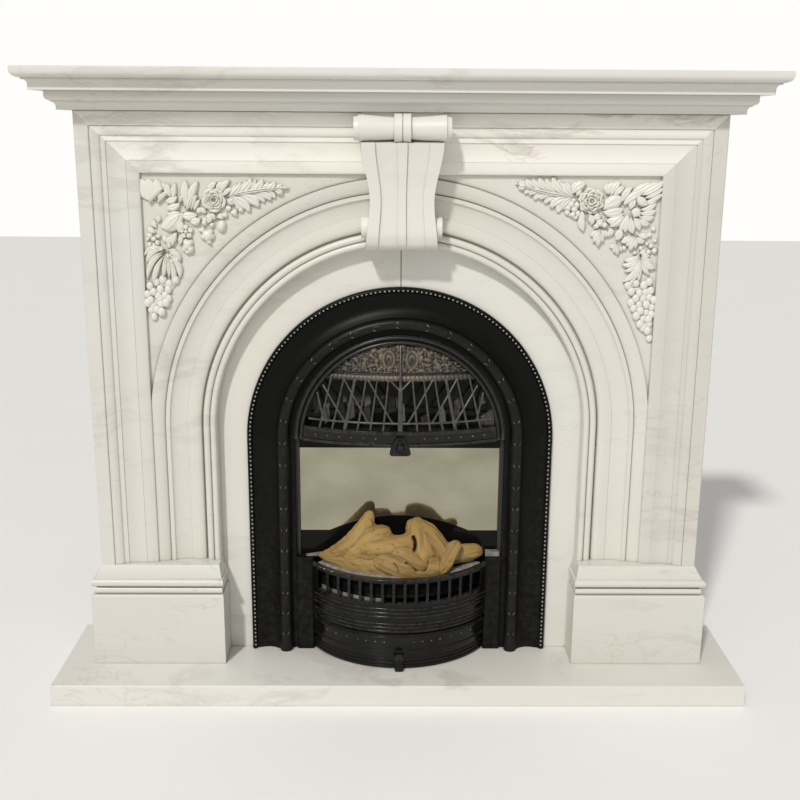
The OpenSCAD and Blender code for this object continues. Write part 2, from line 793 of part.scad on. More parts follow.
// Sheet-steel box behind the screen, with a floor that runs forward under the fuel tray.
module fire_box() {
    face = screen_d - screen_t;
    color([0.25, 0.25, 0.26]) union() {
        difference() {
            translate([-box_half, -face, box_foot])
                cube([2 * box_half, face - box_back, box_top - box_foot]);
            translate([-box_half + box_t, -face - 1, box_foot + box_t])
                cube([2 * (box_half - box_t), face - box_back - box_t + 1,
                    box_top - box_foot - 2 * box_t]);
            translate([gland_x, 0, gland_z]) rotate([90, 0, 0]) cylinder(h = 30, r = 5);
        }
        translate([0, 0, box_foot]) linear_extrude(box_t) intersection() {
            translate([0, bow_c]) circle(bow_foot_r - bow_t - 4, $fn = 96);
            translate([-bow_half + 4, -bow_foot_r]) square([2 * bow_half - 8, bow_foot_r - face + 1]);
        }
    }
}

// Fuel bed
tray_r = bow_top_r - bow_t - 10;

// D-shaped tray with a raised rim, carried on legs from the box floor.
module fuel_tray() {
    half = bow_half - ledge_w - 1;
    color([0.72, 0.71, 0.68]) {
        intersection() {
            translate([0, bow_c, tray_z]) difference() {
                cylinder(h = 16, r = tray_r, $fn = 96);
                translate([0, 0, 4]) cylinder(h = 13, r = tray_r - 5, $fn = 96);
            }
            translate([-half, -tray_r, tray_z - 1])
                cube([2 * half, tray_r - screen_d - gap, 20]);
        }
        for (s = [-1, 1]) translate([s * 148 - 5, -102, box_foot + box_t])
            cube([10, 10, tray_z - box_foot - box_t]);
    }
}

// Vector helpers for swept limbs.
function unit(v) = v / norm(v);
function sect(p, dir, r, n) =
    let (side = unit(cross(dir, [0, 1, 0])), up = cross(dir, side))
    [for (k = [0:n - 1]) p + r * (cos(360 * k / n) * side + sin(360 * k / n) * up)];

drawn_tray_r = 209;                          // tray radius that the logs are drawn for
log_fit = tray_r / drawn_tray_r;

// Tapering limb through points of [x, distance in front of the screen, height above the tray,
// radius], all scaled with the tray.
module limb(pts, n = 9) {
    m = len(pts);
    at = [for (q = pts) [log_fit * q[0], -screen_d - log_fit * q[1], bed_z0 + log_fit * q[2]]];
    dirs = [for (i = [0:m - 1]) unit(at[min(i + 1, m - 1)] - at[max(i - 1, 0)])];
    rings = [for (i = [0:m - 1]) sect(at[i], dirs[i], log_fit * pts[i][3], n)];
    verts = [for (ring = rings) each ring];
    faces = concat([[for (k = [0:n - 1]) k]],
        [for (i = [0:m - 2], k = [0:n - 1]) each [
            [i * n + k, (i + 1) * n + k, (i + 1) * n + (k + 1) % n],
            [i * n + k, (i + 1) * n + (k + 1) % n, i * n + (k + 1) % n]]],
        [[for (k = [n - 1:-1:0]) (m - 1) * n + k]]);
    polyhedron(verts, faces);
}

bed_z0 = tray_z + 4;

// Moulded driftwood: one root with limbs that rise, fork and curl.
module driftwood_bed() {
    color([0.76, 0.6, 0.36]) difference() {
        union() {
            limb([[-168, 26, 44, 5], [-140, 42, 40, 13], [-95, 60, 34, 24],
                [-40, 70, 34, 31], [20, 72, 34, 32], [80, 64, 34, 27],
                [122, 50, 34, 18], [146, 38, 36, 9]]);
            limb([[-130, 38, 30, 12], [-100, 42, 66, 15], [-78, 36, 104, 14],
                [-62, 26, 142, 10], [-54, 20, 160, 4]]);
            limb([[-70, 52, 40, 20], [-30, 44, 82, 22], [4, 36, 112, 18],
                [22, 30, 138, 12], [30, 26, 152, 5]]);
            limb([[10, 54, 40, 24], [52, 48, 78, 22], [86, 38, 98, 16],
                [118, 30, 90, 12], [134, 28, 66, 9], [120, 34, 44, 8]]);
            limb([[-20, 92, 12, 10], [-50, 86, 22, 15], [-96, 72, 24, 15],
                [-140, 50, 22, 9]]);
            limb([[30, 90, 14, 12], [70, 80, 22, 15], [112, 64, 20, 11]]);
        }
        translate([-tray_r, -2 * tray_r, bed_z0 - 50]) cube([2 * tray_r, 2 * tray_r, 50]);
        translate([-tray_r, -screen_d - 1, bed_z0 - 50]) cube([2 * tray_r, screen_d + 1, 2 * tray_r]);
        side_log_form();
    }
}

module side_log_form() {
    limb([[104, 18, 30, 12], [130, 20, 38, 15], [156, 22, 48, 15],
        [168, 22, 56, 12]]);
}
module side_log() { color([0.72, 0.6, 0.5]) side_log_form(); }

// Bowed front
lug_w = 8;

// Outer radius of the bow at height z.
function bow_r(z) = bow_foot_r + (bow_top_r - bow_foot_r) * (z - hearth_z) / bars_top;
lug_d = sqrt(pow(bow_r(ledge_z) - 1, 2) - bow_half * bow_half) - bow_c;

// Wall of the bow between two heights, with reeds that stand out at the listed heights.
function bow_section(z0, z1, reeds) =
    concat([[bow_r(z0) - bow_t, z0], [bow_r(z0), z0]],
        [for (z = reeds) each [[bow_r(z), z - 2.4], [bow_r(z) + 2.2, z - 1.2],
            [bow_r(z) + 2.2, z + 1.2], [bow_r(z), z + 2.4]]],
        [[bow_r(z1), z1], [bow_r(z1) - bow_t, z1]]);

module bow_wall(section) {
    intersection() {
        translate([0, bow_c, 0]) rotate_extrude($fn = 96) polygon(section);
        translate([-bow_half, -bow_top_r - 10, hearth_z])
            cube([2 * bow_half, bow_top_r + 10 - screen_d - 16, bars_top + 20]);
    }
}

// Front bars: a rolled rim, a row of slots, six reeds and a lug behind each end.
module front_bars() {
    foot = hearth_z + bars_foot;
    top = hearth_z + bars_top;
    pitch = 22.4;
    slot_z = top - 54;
    slot_h = 31;
    color(iron) difference() {
        union() {
            bow_wall(bow_section(foot, top - 8, [for (z = [foot + 4, foot + 12, foot + 20,
                foot + 36, foot + 45, foot + 54]) z]));
            bow_wall(concat([[bow_r(top) - bow_t - 3, top - 8], [bow_r(top), top - 8]],
                arc(bow_r(top) - 1, top - 4, 4, 4, -90, 90, 6),
                [[bow_r(top) - bow_t - 3, top]]));
        }
        for (i = [0:slot_n - 1]) translate([(i - (slot_n - 1) / 2) * pitch - slot_w / 2,
            -bow_top_r - 10, slot_z]) cube([slot_w, bow_top_r + 10 - screen_d, slot_h]);
    }
    color(iron) for (s = [-1, 1])
        translate([s * (bow_half - lug_w / 2) - lug_w / 2, -lug_d, ledge_z + gap])
            cube([lug_w, lug_d - cast_back - 4, 7]);
}

// Ash-pit cover: it stands on the hearth below the front bars and is drawn off forwards.
module ash_cover() {
    foot = hearth_z + gap;
    color(iron) intersection() {
        bow_wall(bow_section(foot, cover_top, [foot + 5, foot + 13, foot + 21, foot + 39,
            cover_top - 5]));
        translate([-bow_half + gap, -bow_top_r - 10, foot])
            cube([2 * (bow_half - gap), bow_top_r, cover_top - foot]);
    }
}

// Drop knob of the cover: a short spigot, a turned boss and a foot that hangs in front.
module ash_knob() {
    wall = bow_r(knob_z) - bow_c;
    d = wall + 3.5;
    color(iron) union() {
        translate([0, -wall - 0.7, knob_z]) rotate([90, 0, 0]) cylinder(h = 4, r = 4);
        translate([0, -d, knob_z]) rotate([90, 0, 0]) cylinder(h = 4, r = 11);
        translate([0, -d - 4, knob_z]) rotate([90, 0, 0]) cylinder(h = 6, r1 = 8, r2 = 10);
        upright(d + 3, d + 9) polygon([[-5, knob_z], [5, knob_z], [9, hearth_z + 6],
            [7, hearth_z + 0.8], [-7, hearth_z + 0.8], [-9, hearth_z + 6]]);
    }
}

// Flame effect
rod_d = 44;
rod_z = tray_z - 34;
rod_r = 3;
motor_x = box_half - box_t;

module lamp_strip() {
    z = box_foot + box_t;
    color("white") {
        translate([-170, -56, z]) cube([340, 24, 3]);
        translate([-165, -50, z + 3]) cube([330, 12, 4]);
    }
}

// Rod with reflecting paddles that turns below the screen.
module flicker_rod() {
    n = 11;
    color("silver") union() {
        translate([-motor_x + 4, -rod_d, rod_z]) rotate([0, 90, 0])
            cylinder(h = 2 * motor_x - 16, r = rod_r);
        for (i = [0:n - 1]) translate([(i - (n - 1) / 2) * 30, -rod_d, rod_z])
            rotate([67 * i, 0, 0]) translate([-8, -1, -paddle_r])
                cube([16, 2, 2 * paddle_r]);
    }
}

module rod_motor() {
    color([0.3, 0.3, 0.32]) difference() {
        union() {
            translate([motor_x - 22, -rod_d, rod_z]) rotate([0, 90, 0]) cylinder(h = 22, r = 17);
            translate([motor_x - 3, -rod_d - 24, rod_z - 10]) cube([3, 48, 20]);
        }
        translate([motor_x - 23, -rod_d, rod_z]) rotate([0, 90, 0])
            cylinder(h = 17, r = rod_r + 0.15);
    }
}

module rod_bearing() {
    color("white") difference() {
        translate([-motor_x, -rod_d - 10, rod_z - 10]) cube([10, 20, 20]);
        translate([-motor_x - 1, -rod_d, rod_z]) rotate([0, 90, 0])
            cylinder(h = 12, r = rod_r + 0.15);
    }
}

// Fan heater
blower_d = 122;
blower_z = box_foot + box_t + blower_r + 8;
blower_half = 100;

module blower_wheel() {
    n = 16;
    color([0.55, 0.55, 0.57]) union() {
        for (x = [-blower_half, blower_half - 2]) translate([x, -blower_d, blower_z])
            rotate([0, 90, 0]) cylinder(h = 2, r = blower_r);
        for (k = [0:n - 1]) translate([-blower_half, -blower_d, blower_z])
            rotate([360 * k / n, 0, 0]) translate([0, blower_r - 8, -1])
                rotate([30, 0, 0]) cube([2 * blower_half, 6, 1.2]);
        translate([-blower_half - 12, -blower_d, blower_z]) rotate([0, 90, 0])
            cylinder(h = 2 * blower_half + 24, r = rod_r);
    }
}

// Foot-mounted bearing block for the blower, len long from x.
module blower_block(x, len, r) {
    difference() {
        union() {
            translate([x, -blower_d, blower_z]) rotate([0, 90, 0]) cylinder(h = len, r = r);
            translate([x, -blower_d - 8, box_foot + box_t])
                cube([len, 16, blower_z - box_foot - box_t]);
        }
        translate([x - 1, -blower_d, blower_z]) rotate([0, 90, 0])
            cylinder(h = len + 2, r = rod_r + 0.15);
    }
}
module blower_motor() { color([0.3, 0.3, 0.32]) blower_block(blower_half + 2, 28, 16); }
module blower_bearing() { color("white") blower_block(-blower_half - 12, 10, 9); }

// Controls behind the ash-pit cover
panel_d = 166;
rocker_d = panel_d - 6;
rocker_z = box_foot + 38;
rocker_x = 18;
rocker_r = 11;
rocker_w = 14;
pivot_r = 1.5;

module switch_panel() {
    t = 2;
    color([0.15, 0.15, 0.16]) difference() {
        union() {
            translate([-42, -panel_d - t, box_foot + box_t]) cube([84, t, 62]);
            translate([-42, -panel_d, box_foot + box_t]) cube([84, 12, t]);
            for (s = [-1, 1], e = [-1, 1])
                translate([s * rocker_x + e * (rocker_w / 2 + 1.6) - 1, -panel_d, rocker_z - 5])
                    cube([2, 12, 10]);
        }
        for (s = [-1, 1]) {
            translate([s * rocker_x - rocker_w / 2 - gap, -panel_d - t - 1, rocker_z - 10])
                cube([rocker_w + 2 * gap, t + 2, 20]);
            translate([s * rocker_x - rocker_w, -rocker_d, rocker_z]) rotate([0, 90, 0])
                cylinder(h = 2 * rocker_w, r = pivot_r + 0.15);
        }
    }
}

// Rocker on its pivot pin, flat at the back and hollowed to the finger in front.
module rocker(x) {
    translate([x, -rocker_d, rocker_z]) rotate([0, 90, 0]) {
        translate([0, 0, -rocker_w / 2]) difference() {
            cylinder(h = rocker_w, r = rocker_r);
            translate([-20, 6, -1]) cube([40, 20, rocker_w + 2]);
            translate([0, -rocker_r - 27, -1]) cylinder(h = rocker_w + 2, r = 29);
        }
        translate([0, 0, -rocker_w / 2 - 2.4]) cylinder(h = rocker_w + 4.8, r = pivot_r);
    }
}
module flame_switch() { color("black") rocker(-rocker_x); }
module heat_switch() { color("black") rocker(rocker_x); }

module cable_gland() {
    long = 12;
    color([0.1, 0.1, 0.1]) translate([gland_x, -box_back, gland_z]) rotate([-90, 0, 0])
        difference() {
            union() {
                cylinder(h = long, r = 9);
                translate([0, 0, -box_t - 3]) cylinder(h = box_t + 3, r = 4.8);
            }
            translate([0, 0, -box_t - 4]) cylinder(h = long + box_t + 5, r = 3);
        }
}

hearth_slab();
left_plinth();
right_plinth();
left_plinth_cap();
right_plinth_cap();
left_leg();
right_leg();
left_return();
right_return();
header();
left_arch_panel();
right_arch_panel();
left_carving();
right_carving();
keystone_console();
keystone_scroll();
bed_front();
bed_left_return();
bed_right_return();
cornice_front();
cornice_left_return();
cornice_right_return();
shelf_slab();
left_slip();
right_slip();
corner_blocks();
wall_angles();
cast_arch();
left_jamb_plate();
right_jamb_plate();
hood_rim();
hood_rail();
hood_tracery();
hood_relief();
hood_boss();
flame_screen();
screen_trims();
fire_box();
fuel_tray();
driftwood_bed();
side_log();
front_bars();
ash_cover();
ash_knob();
lamp_strip();
flicker_rod();
rod_motor();
rod_bearing();
blower_wheel();
blower_motor();
blower_bearing();
switch_panel();
flame_switch();
heat_switch();
cable_gland();
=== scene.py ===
"""Marble chimneypiece with an arched cast-iron electric fire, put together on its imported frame.

+Z is up, the front faces -Y and the wall is the plane Y = 0. Blender's lengths are metres, and
reliefs and castings are drawn in millimetres. "Depth" means the distance in front of the wall, so
a point at depth d has Y = -d. Shader colours are linear red, green and blue.
"""
import math

import bpy
import numpy as np
from mathutils import Matrix, Vector


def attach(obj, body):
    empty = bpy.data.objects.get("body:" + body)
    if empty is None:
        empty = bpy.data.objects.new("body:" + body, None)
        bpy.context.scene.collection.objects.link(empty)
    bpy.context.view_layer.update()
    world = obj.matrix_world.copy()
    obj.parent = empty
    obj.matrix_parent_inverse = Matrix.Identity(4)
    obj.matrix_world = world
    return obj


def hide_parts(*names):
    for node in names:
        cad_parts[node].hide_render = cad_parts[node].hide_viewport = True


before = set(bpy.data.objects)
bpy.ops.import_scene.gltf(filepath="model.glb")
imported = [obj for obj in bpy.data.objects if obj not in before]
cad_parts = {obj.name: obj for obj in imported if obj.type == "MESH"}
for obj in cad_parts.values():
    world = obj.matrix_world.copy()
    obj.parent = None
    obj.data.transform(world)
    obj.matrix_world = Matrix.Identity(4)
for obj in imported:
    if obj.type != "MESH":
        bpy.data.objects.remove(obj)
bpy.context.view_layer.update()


# Camera: it stands where the photograph was taken, two metres in front of the wall and a little
# below the shelf's height, and looks down. Its place, angles and lens were solved from the
# object's own edges.
CAMERA_AT = Vector((-0.0249, -2.1709, 1.1093))
CAMERA_YAW = 0.0119
CAMERA_PITCH = -0.2487
CAMERA_ROLL = -0.0071
FOCAL_PX = 1069.0
FRAME_PX = 800.0
SENSOR_MM = 36.0


def camera_axes(yaw, pitch, roll):
    """Right, up and back axes of a camera turned by yaw and pitch, then rolled about its view."""
    ahead = Vector((math.sin(yaw) * math.cos(pitch), math.cos(yaw) * math.cos(pitch), math.sin(pitch)))
    right = Vector((math.cos(yaw), -math.sin(yaw), 0.0))
    down = ahead.cross(right)
    rolled_right = math.cos(roll) * right + math.sin(roll) * down
    rolled_down = -math.sin(roll) * right + math.cos(roll) * down
    return rolled_right, -rolled_down, -ahead


def link_up(name, data):
    """New object for the data, put in the scene."""
    made = bpy.data.objects.new(name, data)
    bpy.context.scene.collection.objects.link(made)
    return made


camera = link_up("camera", bpy.data.cameras.new("camera"))
camera.data.sensor_width = SENSOR_MM
camera.data.lens = SENSOR_MM * FOCAL_PX / FRAME_PX
turned = Matrix(camera_axes(CAMERA_YAW, CAMERA_PITCH, CAMERA_ROLL)).transposed().to_4x4()
camera.matrix_world = Matrix.Translation(CAMERA_AT) @ turned
bpy.context.scene.camera = camera


# Hearth: one slab of honed white marble, laid on the floor, which carries all the rest. It is cream
# in the light, with faint grey-brown veins that run diagonally and soft grey clouds, and its inner
# corners are darkened by painted shade.
VEIN_BROWN, HAIR_BROWN, PAINTED_CORNER_SHADE = (0.33, 0.29, 0.23), (0.38, 0.33, 0.25), (0.27, 0.235, 0.18)
WARM_PART, GREY_PART = (0.965, 0.93, 0.87), (0.87, 0.885, 0.90)
CORNER_SHADE_REACH = 0.009
SMOOTH_UNDER = math.radians(32)


def put(tree, socket, value):
    """Links a socket's output to the input, or sets the input to a plain value."""
    if isinstance(value, bpy.types.NodeSocket):
        tree.links.new(value, socket)
    else:
        socket.default_value = value


def add_node(tree, kind, given, **settings):
    """Node of the kind with its settings. given maps an input's name or number to what it gets."""
    made = tree.nodes.new(kind)
    for key, value in settings.items():
        setattr(made, key, value)
    for key, value in given.items():
        put(tree, made.inputs[key], value)
    return made


def maths(tree, operation, first, second=0.5):
    """Output of a Math node for two sockets or numbers."""
    return add_node(tree, "ShaderNodeMath", {0: first, 1: second}, operation=operation).outputs[0]


def ramp(tree, value, low, high, low_to=0.0, high_to=1.0):
    """Value taken linearly from low..high to low_to..high_to, and held at the ends."""
    given = {"Value": value, "From Min": low, "From Max": high, "To Min": low_to, "To Max": high_to}
    return add_node(tree, "ShaderNodeMapRange", given).outputs["Result"]


def mix_colours(tree, share, first, second):
    """Colour from first to second by share, each a colour or a socket."""
    first, second = (c if isinstance(c, bpy.types.NodeSocket) else (*c, 1.0) for c in (first, second))
    return add_node(tree, "ShaderNodeMix", {0: share, 6: first, 7: second}, data_type="RGBA").outputs[2]


def noise(tree, vector, scale, detail=4.0, rough=0.55, warp=0.0):
    """Noise value at the vector, with scale in cycles a metre."""
    given = {"Vector": vector, "Scale": scale, "Detail": detail, "Roughness": rough, "Distortion": warp}
    return add_node(tree, "ShaderNodeTexNoise", given).outputs["Fac"]


def placed(tree, vector, shift=(0, 0, 0), tilt=0, stretch=(1, 1, 1)):
    """Vector moved, tilted by degrees in the wall's plane, and stretched."""
    given = {"Vector": vector, "Location": shift, "Rotation": (0, math.radians(tilt), 0), "Scale": stretch}
    return add_node(tree, "ShaderNodeMapping", given).outputs["Vector"]


def bumped(tree, height, distance, strength, edge=0.0):
    """Normal bumped by a height, on edges rounded by the radius edge."""
    given = {"Height": height, "Distance": distance, "Strength": strength}
    if edge:
        given["Normal"] = add_node(tree, "ShaderNodeBevel", {"Radius": edge}, samples=4).outputs["Normal"]
    return add_node(tree, "ShaderNodeBump", given).outputs["Normal"]


def new_material(name):
    """Material with one Principled shader: (material, tree, Object coordinates)."""
    material = bpy.data.materials.new(name)
    material.use_nodes = True
    tree = material.node_tree
    return material, tree, add_node(tree, "ShaderNodeTexCoord", {}).outputs["Object"]


def coat(tree, finish):
    """Links or sets inputs of the material's Principled shader."""
    for name, value in finish.items():
        put(tree, tree.nodes["Principled BSDF"].inputs[name], value)


def new_group(name, takes, gives, kind="Shader", given="Vector", made="Float"):
    """Node group with named sockets of one kind in and one kind out: (group, input, output)."""
    group = bpy.data.node_groups.new(name, kind + "NodeTree")
    for label in takes:
        group.interface.new_socket(label, in_out="INPUT", socket_type="NodeSocket" + given)
    for label in gives:
        group.interface.new_socket(label, in_out="OUTPUT", socket_type="NodeSocket" + made)
    return group, group.nodes.new("NodeGroupInput"), group.nodes.new("NodeGroupOutput")


def make_marble_pattern():
    """Marble pattern: thin veins where a stretched noise crosses its middle, kept only inside
    broad patches, a few hair veins across them, and soft clouds."""
    group, given, result = new_group("marble_pattern", ["Vector"], ["Vein", "Hair", "Cloud"])
    vector = given.outputs[0]
    wander = add_node(group, "ShaderNodeTexNoise", {"Vector": vector, "Scale": 3.0, "Detail": 5.0})
    bend = {0: 0.14, 4: vector, 5: wander.outputs["Color"]}
    bent = add_node(group, "ShaderNodeMix", bend, data_type="VECTOR").outputs[1]

    def crossing(at, scale, detail, width):
        """Line of the width where a noise crosses its middle."""
        off = maths(group, "SUBTRACT", noise(group, at, scale, detail, 0.6), 0.5)
        return ramp(group, maths(group, "ABSOLUTE", off), 0.0, width, 1.0, 0.0)

    slanted = placed(group, bent, tilt=52, stretch=(1.0, 1.0, 4.5))
    patches = ramp(group, noise(group, placed(group, bent, shift=(3, 1, 2)), 2.6, 2.0), 0.47, 0.66)
    put(group, result.inputs["Vein"], maths(group, "MULTIPLY", crossing(slanted, 2.1, 6.0, 0.035), patches))
    across = placed(group, bent, (7, 5, 3), -34, (1.0, 1.0, 3.0))
    here = ramp(group, noise(group, vector, 4.0, 2.0), 0.5, 0.68)
    put(group, result.inputs["Hair"], maths(group, "MULTIPLY", crossing(across, 5.0, 4.0, 0.012), here))
    put(group, result.inputs["Cloud"], ramp(group, noise(group, slanted, 1.3, 5.0, 0.5), 0.36, 0.72))
    return group


MARBLE_PATTERN = make_marble_pattern()


def make_marble(name, cut_at, tone, vein_strength=0.34, edge=0.0012):
    """Honed marble cut at a place in the slab, in the tone, with the given strength of vein. Inner
    corners, where a short ray is shut in, are darkened by painted shade."""
    material, tree, at = new_material(name)
    at = placed(tree, at, shift=cut_at)
    pattern = add_node(tree, "ShaderNodeGroup", {0: at}, node_tree=MARBLE_PATTERN).outputs
    warm, grey = (tuple(t * k for t, k in zip(tone, part)) for part in (WARM_PART, GREY_PART))
    colour = mix_colours(tree, ramp(tree, noise(tree, at, 1.7, 3.0), 0.35, 0.65, 0.0, 0.6), tone, warm)
    for mask, strength, stain in (("Cloud", 0.30, grey), ("Vein", vein_strength, VEIN_BROWN),
                                  ("Hair", vein_strength * 0.8, HAIR_BROWN)):
        colour = mix_colours(tree, maths(tree, "MULTIPLY", pattern[mask], strength), colour, stain)
    # Painted shade: ambient occlusion darkens the colour in inner corners and narrow gaps.
    open_to_air = add_node(tree, "ShaderNodeAmbientOcclusion", {"Distance": CORNER_SHADE_REACH}, samples=6)
    corner_shade = ramp(tree, open_to_air.outputs["AO"], 0.70, 0.20, 0.0, 0.62)
    grain = noise(tree, at, 260.0, 3.0)
    coat(tree, {"Base Color": mix_colours(tree, corner_shade, colour, PAINTED_CORNER_SHADE),
                "Roughness": ramp(tree, grain, 0.3, 0.7, 0.30, 0.42),
                "Normal": bumped(tree, grain, 0.00012, 0.5, edge),
                "IOR": 1.48, "Specular IOR Level": 0.42})
    return material


def make_smoothing():
    """Geometry nodes that weld a CAD mesh and smooth every edge that turns by less than
    SMOOTH_UNDER."""
    group, given, result = new_group("smooth_facets", ["Geometry"], ["Geometry"], "Geometry",
                                     "Geometry", "Geometry")
    weld = add_node(group, "GeometryNodeMergeByDistance", {"Geometry": given.outputs[0], "Distance": 1e-5})
    normal = add_node(group, "GeometryNodeSetMeshNormal", {"Mesh": weld.outputs[0]}, mode="SHARPNESS")
    angle = group.nodes.new("GeometryNodeInputMeshEdgeAngle").outputs["Unsigned Angle"]
    sharp = add_node(group, "FunctionNodeCompare", {0: angle, 1: SMOOTH_UNDER}, operation="GREATER_THAN")
    for socket in normal.inputs:
        if socket.name == "Remove Custom":
            socket.default_value = True
        if socket.name == "Edge Sharpness":
            put(group, socket, sharp.outputs[0])
    put(group, result.inputs[0], normal.outputs[0])
    return group


SMOOTHING = make_smoothing()


def dress(material, *names):
    """Gives CAD nodes, whose shape stays, a material and smooth facets."""
    for name in names:
        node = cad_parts[name]
        node.data.materials.clear()
        node.data.materials.append(material)
        node.modifiers.new("smooth", "NODES").node_group = SMOOTHING


dress(make_marble("marble_hearth", (1.3, 0.4, 2.2), (0.71, 0.70, 0.66), 0.30), "hearth_slab")


# Plinths: a plain marble block under each leg, with a return to the wall, and on it a moulded cap
# worked in one length with its own return. They are bedded on the hearth.
dress(make_marble("marble_plinth_left", (5.1, 2.0, 0.3), (0.665, 0.656, 0.62), 0.35),
      "left_plinth", "left_plinth_cap")
dress(make_marble("marble_plinth_right", (9.4, 3.0, 1.3), (0.66, 0.65, 0.61), 0.30),
      "right_plinth", "right_plinth_cap")


# Legs and returns: the moulded jambs of the frame, mitred at the top, and the slabs that close the
# sides back to the wall. Each side is cut from one piece of the slab.
dress(make_marble("marble_leg_left", (2.4, 7.0, 4.0), (0.67, 0.66, 0.62), 0.30),
      "left_leg", "left_return")
dress(make_marble("marble_leg_right", (6.2, 1.0, 5.5), (0.63, 0.615, 0.57), 0.34),
      "right_leg", "right_return")


# Corner blocks and wall angles, out of sight: sawn offcuts glued behind the joints of leg and
# return, greyer and with fine parallel saw lines, and the bright zinc-plated steel angles that
# screw the returns to the wall.
def make_sawn_marble():
    """Sawn marble: fine parallel lines from a noise stretched along Z."""
    material, tree, at = new_material("sawn_marble")
    lines = noise(tree, placed(tree, at, stretch=(1, 1, 60)), 14.0, 2.0)
    colour = mix_colours(tree, noise(tree, at, 30.0), (0.62, 0.61, 0.57), (0.70, 0.69, 0.65))
    coat(tree, {"Base Color": colour, "Normal": bumped(tree, lines, 0.0004, 0.6), "Roughness": 0.75})
    return material


def make_sheet_metal(name, colour, rough, metallic=0.0):
    """Rolled sheet or turned metal with a little mottle and faint lines along X."""
    material, tree, at = new_material(name)
    light = tuple(min(1.0, 1.25 * c) for c in colour)
    brushed = noise(tree, placed(tree, at, stretch=(1, 40, 40)), 25.0, 3.0)
    coat(tree, {"Base Color": mix_colours(tree, noise(tree, at, 35.0, 4.0), colour, light),
                "Roughness": ramp(tree, brushed, 0.3, 0.7, rough - 0.06, rough + 0.08),
                "Normal": bumped(tree, brushed, 0.0001, 0.4, 0.0004), "Metallic": metallic})
    return material


dress(make_sawn_marble(), "corner_blocks")
dress(make_sheet_metal("zinc_steel", (0.55, 0.56, 0.57), 0.36, 0.9), "wall_angles")


# Header: the same moulding across the top, mitred to the legs. Its face lies back under the shelf,
# and this length of the slab is given the lightest tone and the strongest veins.
dress(make_marble("marble_header", (0.2, 3.1, 7.7), (0.84, 0.82, 0.765), 0.50), "header")


# Arched panels: the two halves of the arched front with their sunk spandrels, which meet behind
# the keystone and stand inside the frame. The left one is a shade darker than the right one.
dress(make_marble("marble_panel_left", (4.7, 8.8, 2.9), (0.672, 0.653, 0.597), 0.26), "left_arch_panel")
dress(make_marble("marble_panel_right", (8.1, 6.0, 0.9), (0.69, 0.675, 0.62), 0.30), "right_arch_panel")


# Spandrel carvings: a garland of the same marble carved in each upper corner. A serrated spray
# points to the keystone, then come a rose and long leaves, pods and small flowers hang below, and a
# vine leaf covers the head of a bunch of grapes.
#
# Every form is closed and stands in its ground. Its points are (x, z, h) in millimetres, which are
# right, up and out from the ground.
MM = 0.001
SUNK = -0.4
SPANDREL_DEPTH = 132.0
LEAF_WIDER, LEAF_LOWER = 1.28, 0.9
GRAPE_R, GRAPE_UNEVEN = 7.4, 0.5
FLUTE_DEPTH = 0.3
# A ring of petals is given by its count, inner and outer radius, low and high edge, as parts of
# the rose's radius, and its first angle.
OPEN_ROSE = ((5, 0.58, 1.12, 0.14, 0.36, 20), (5, 0.40, 0.86, 0.22, 0.52, 55),
             (4, 0.26, 0.62, 0.26, 0.60, 10), (3, 0.12, 0.42, 0.20, 0.58, 70))
BALL_ROSE = ((6, 0.55, 1.10, 0.10, 0.34, 10), (5, 0.40, 0.88, 0.22, 0.54, 40),
             (5, 0.24, 0.66, 0.36, 0.68, 5), (3, 0.08, 0.40, 0.44, 0.74, 60))
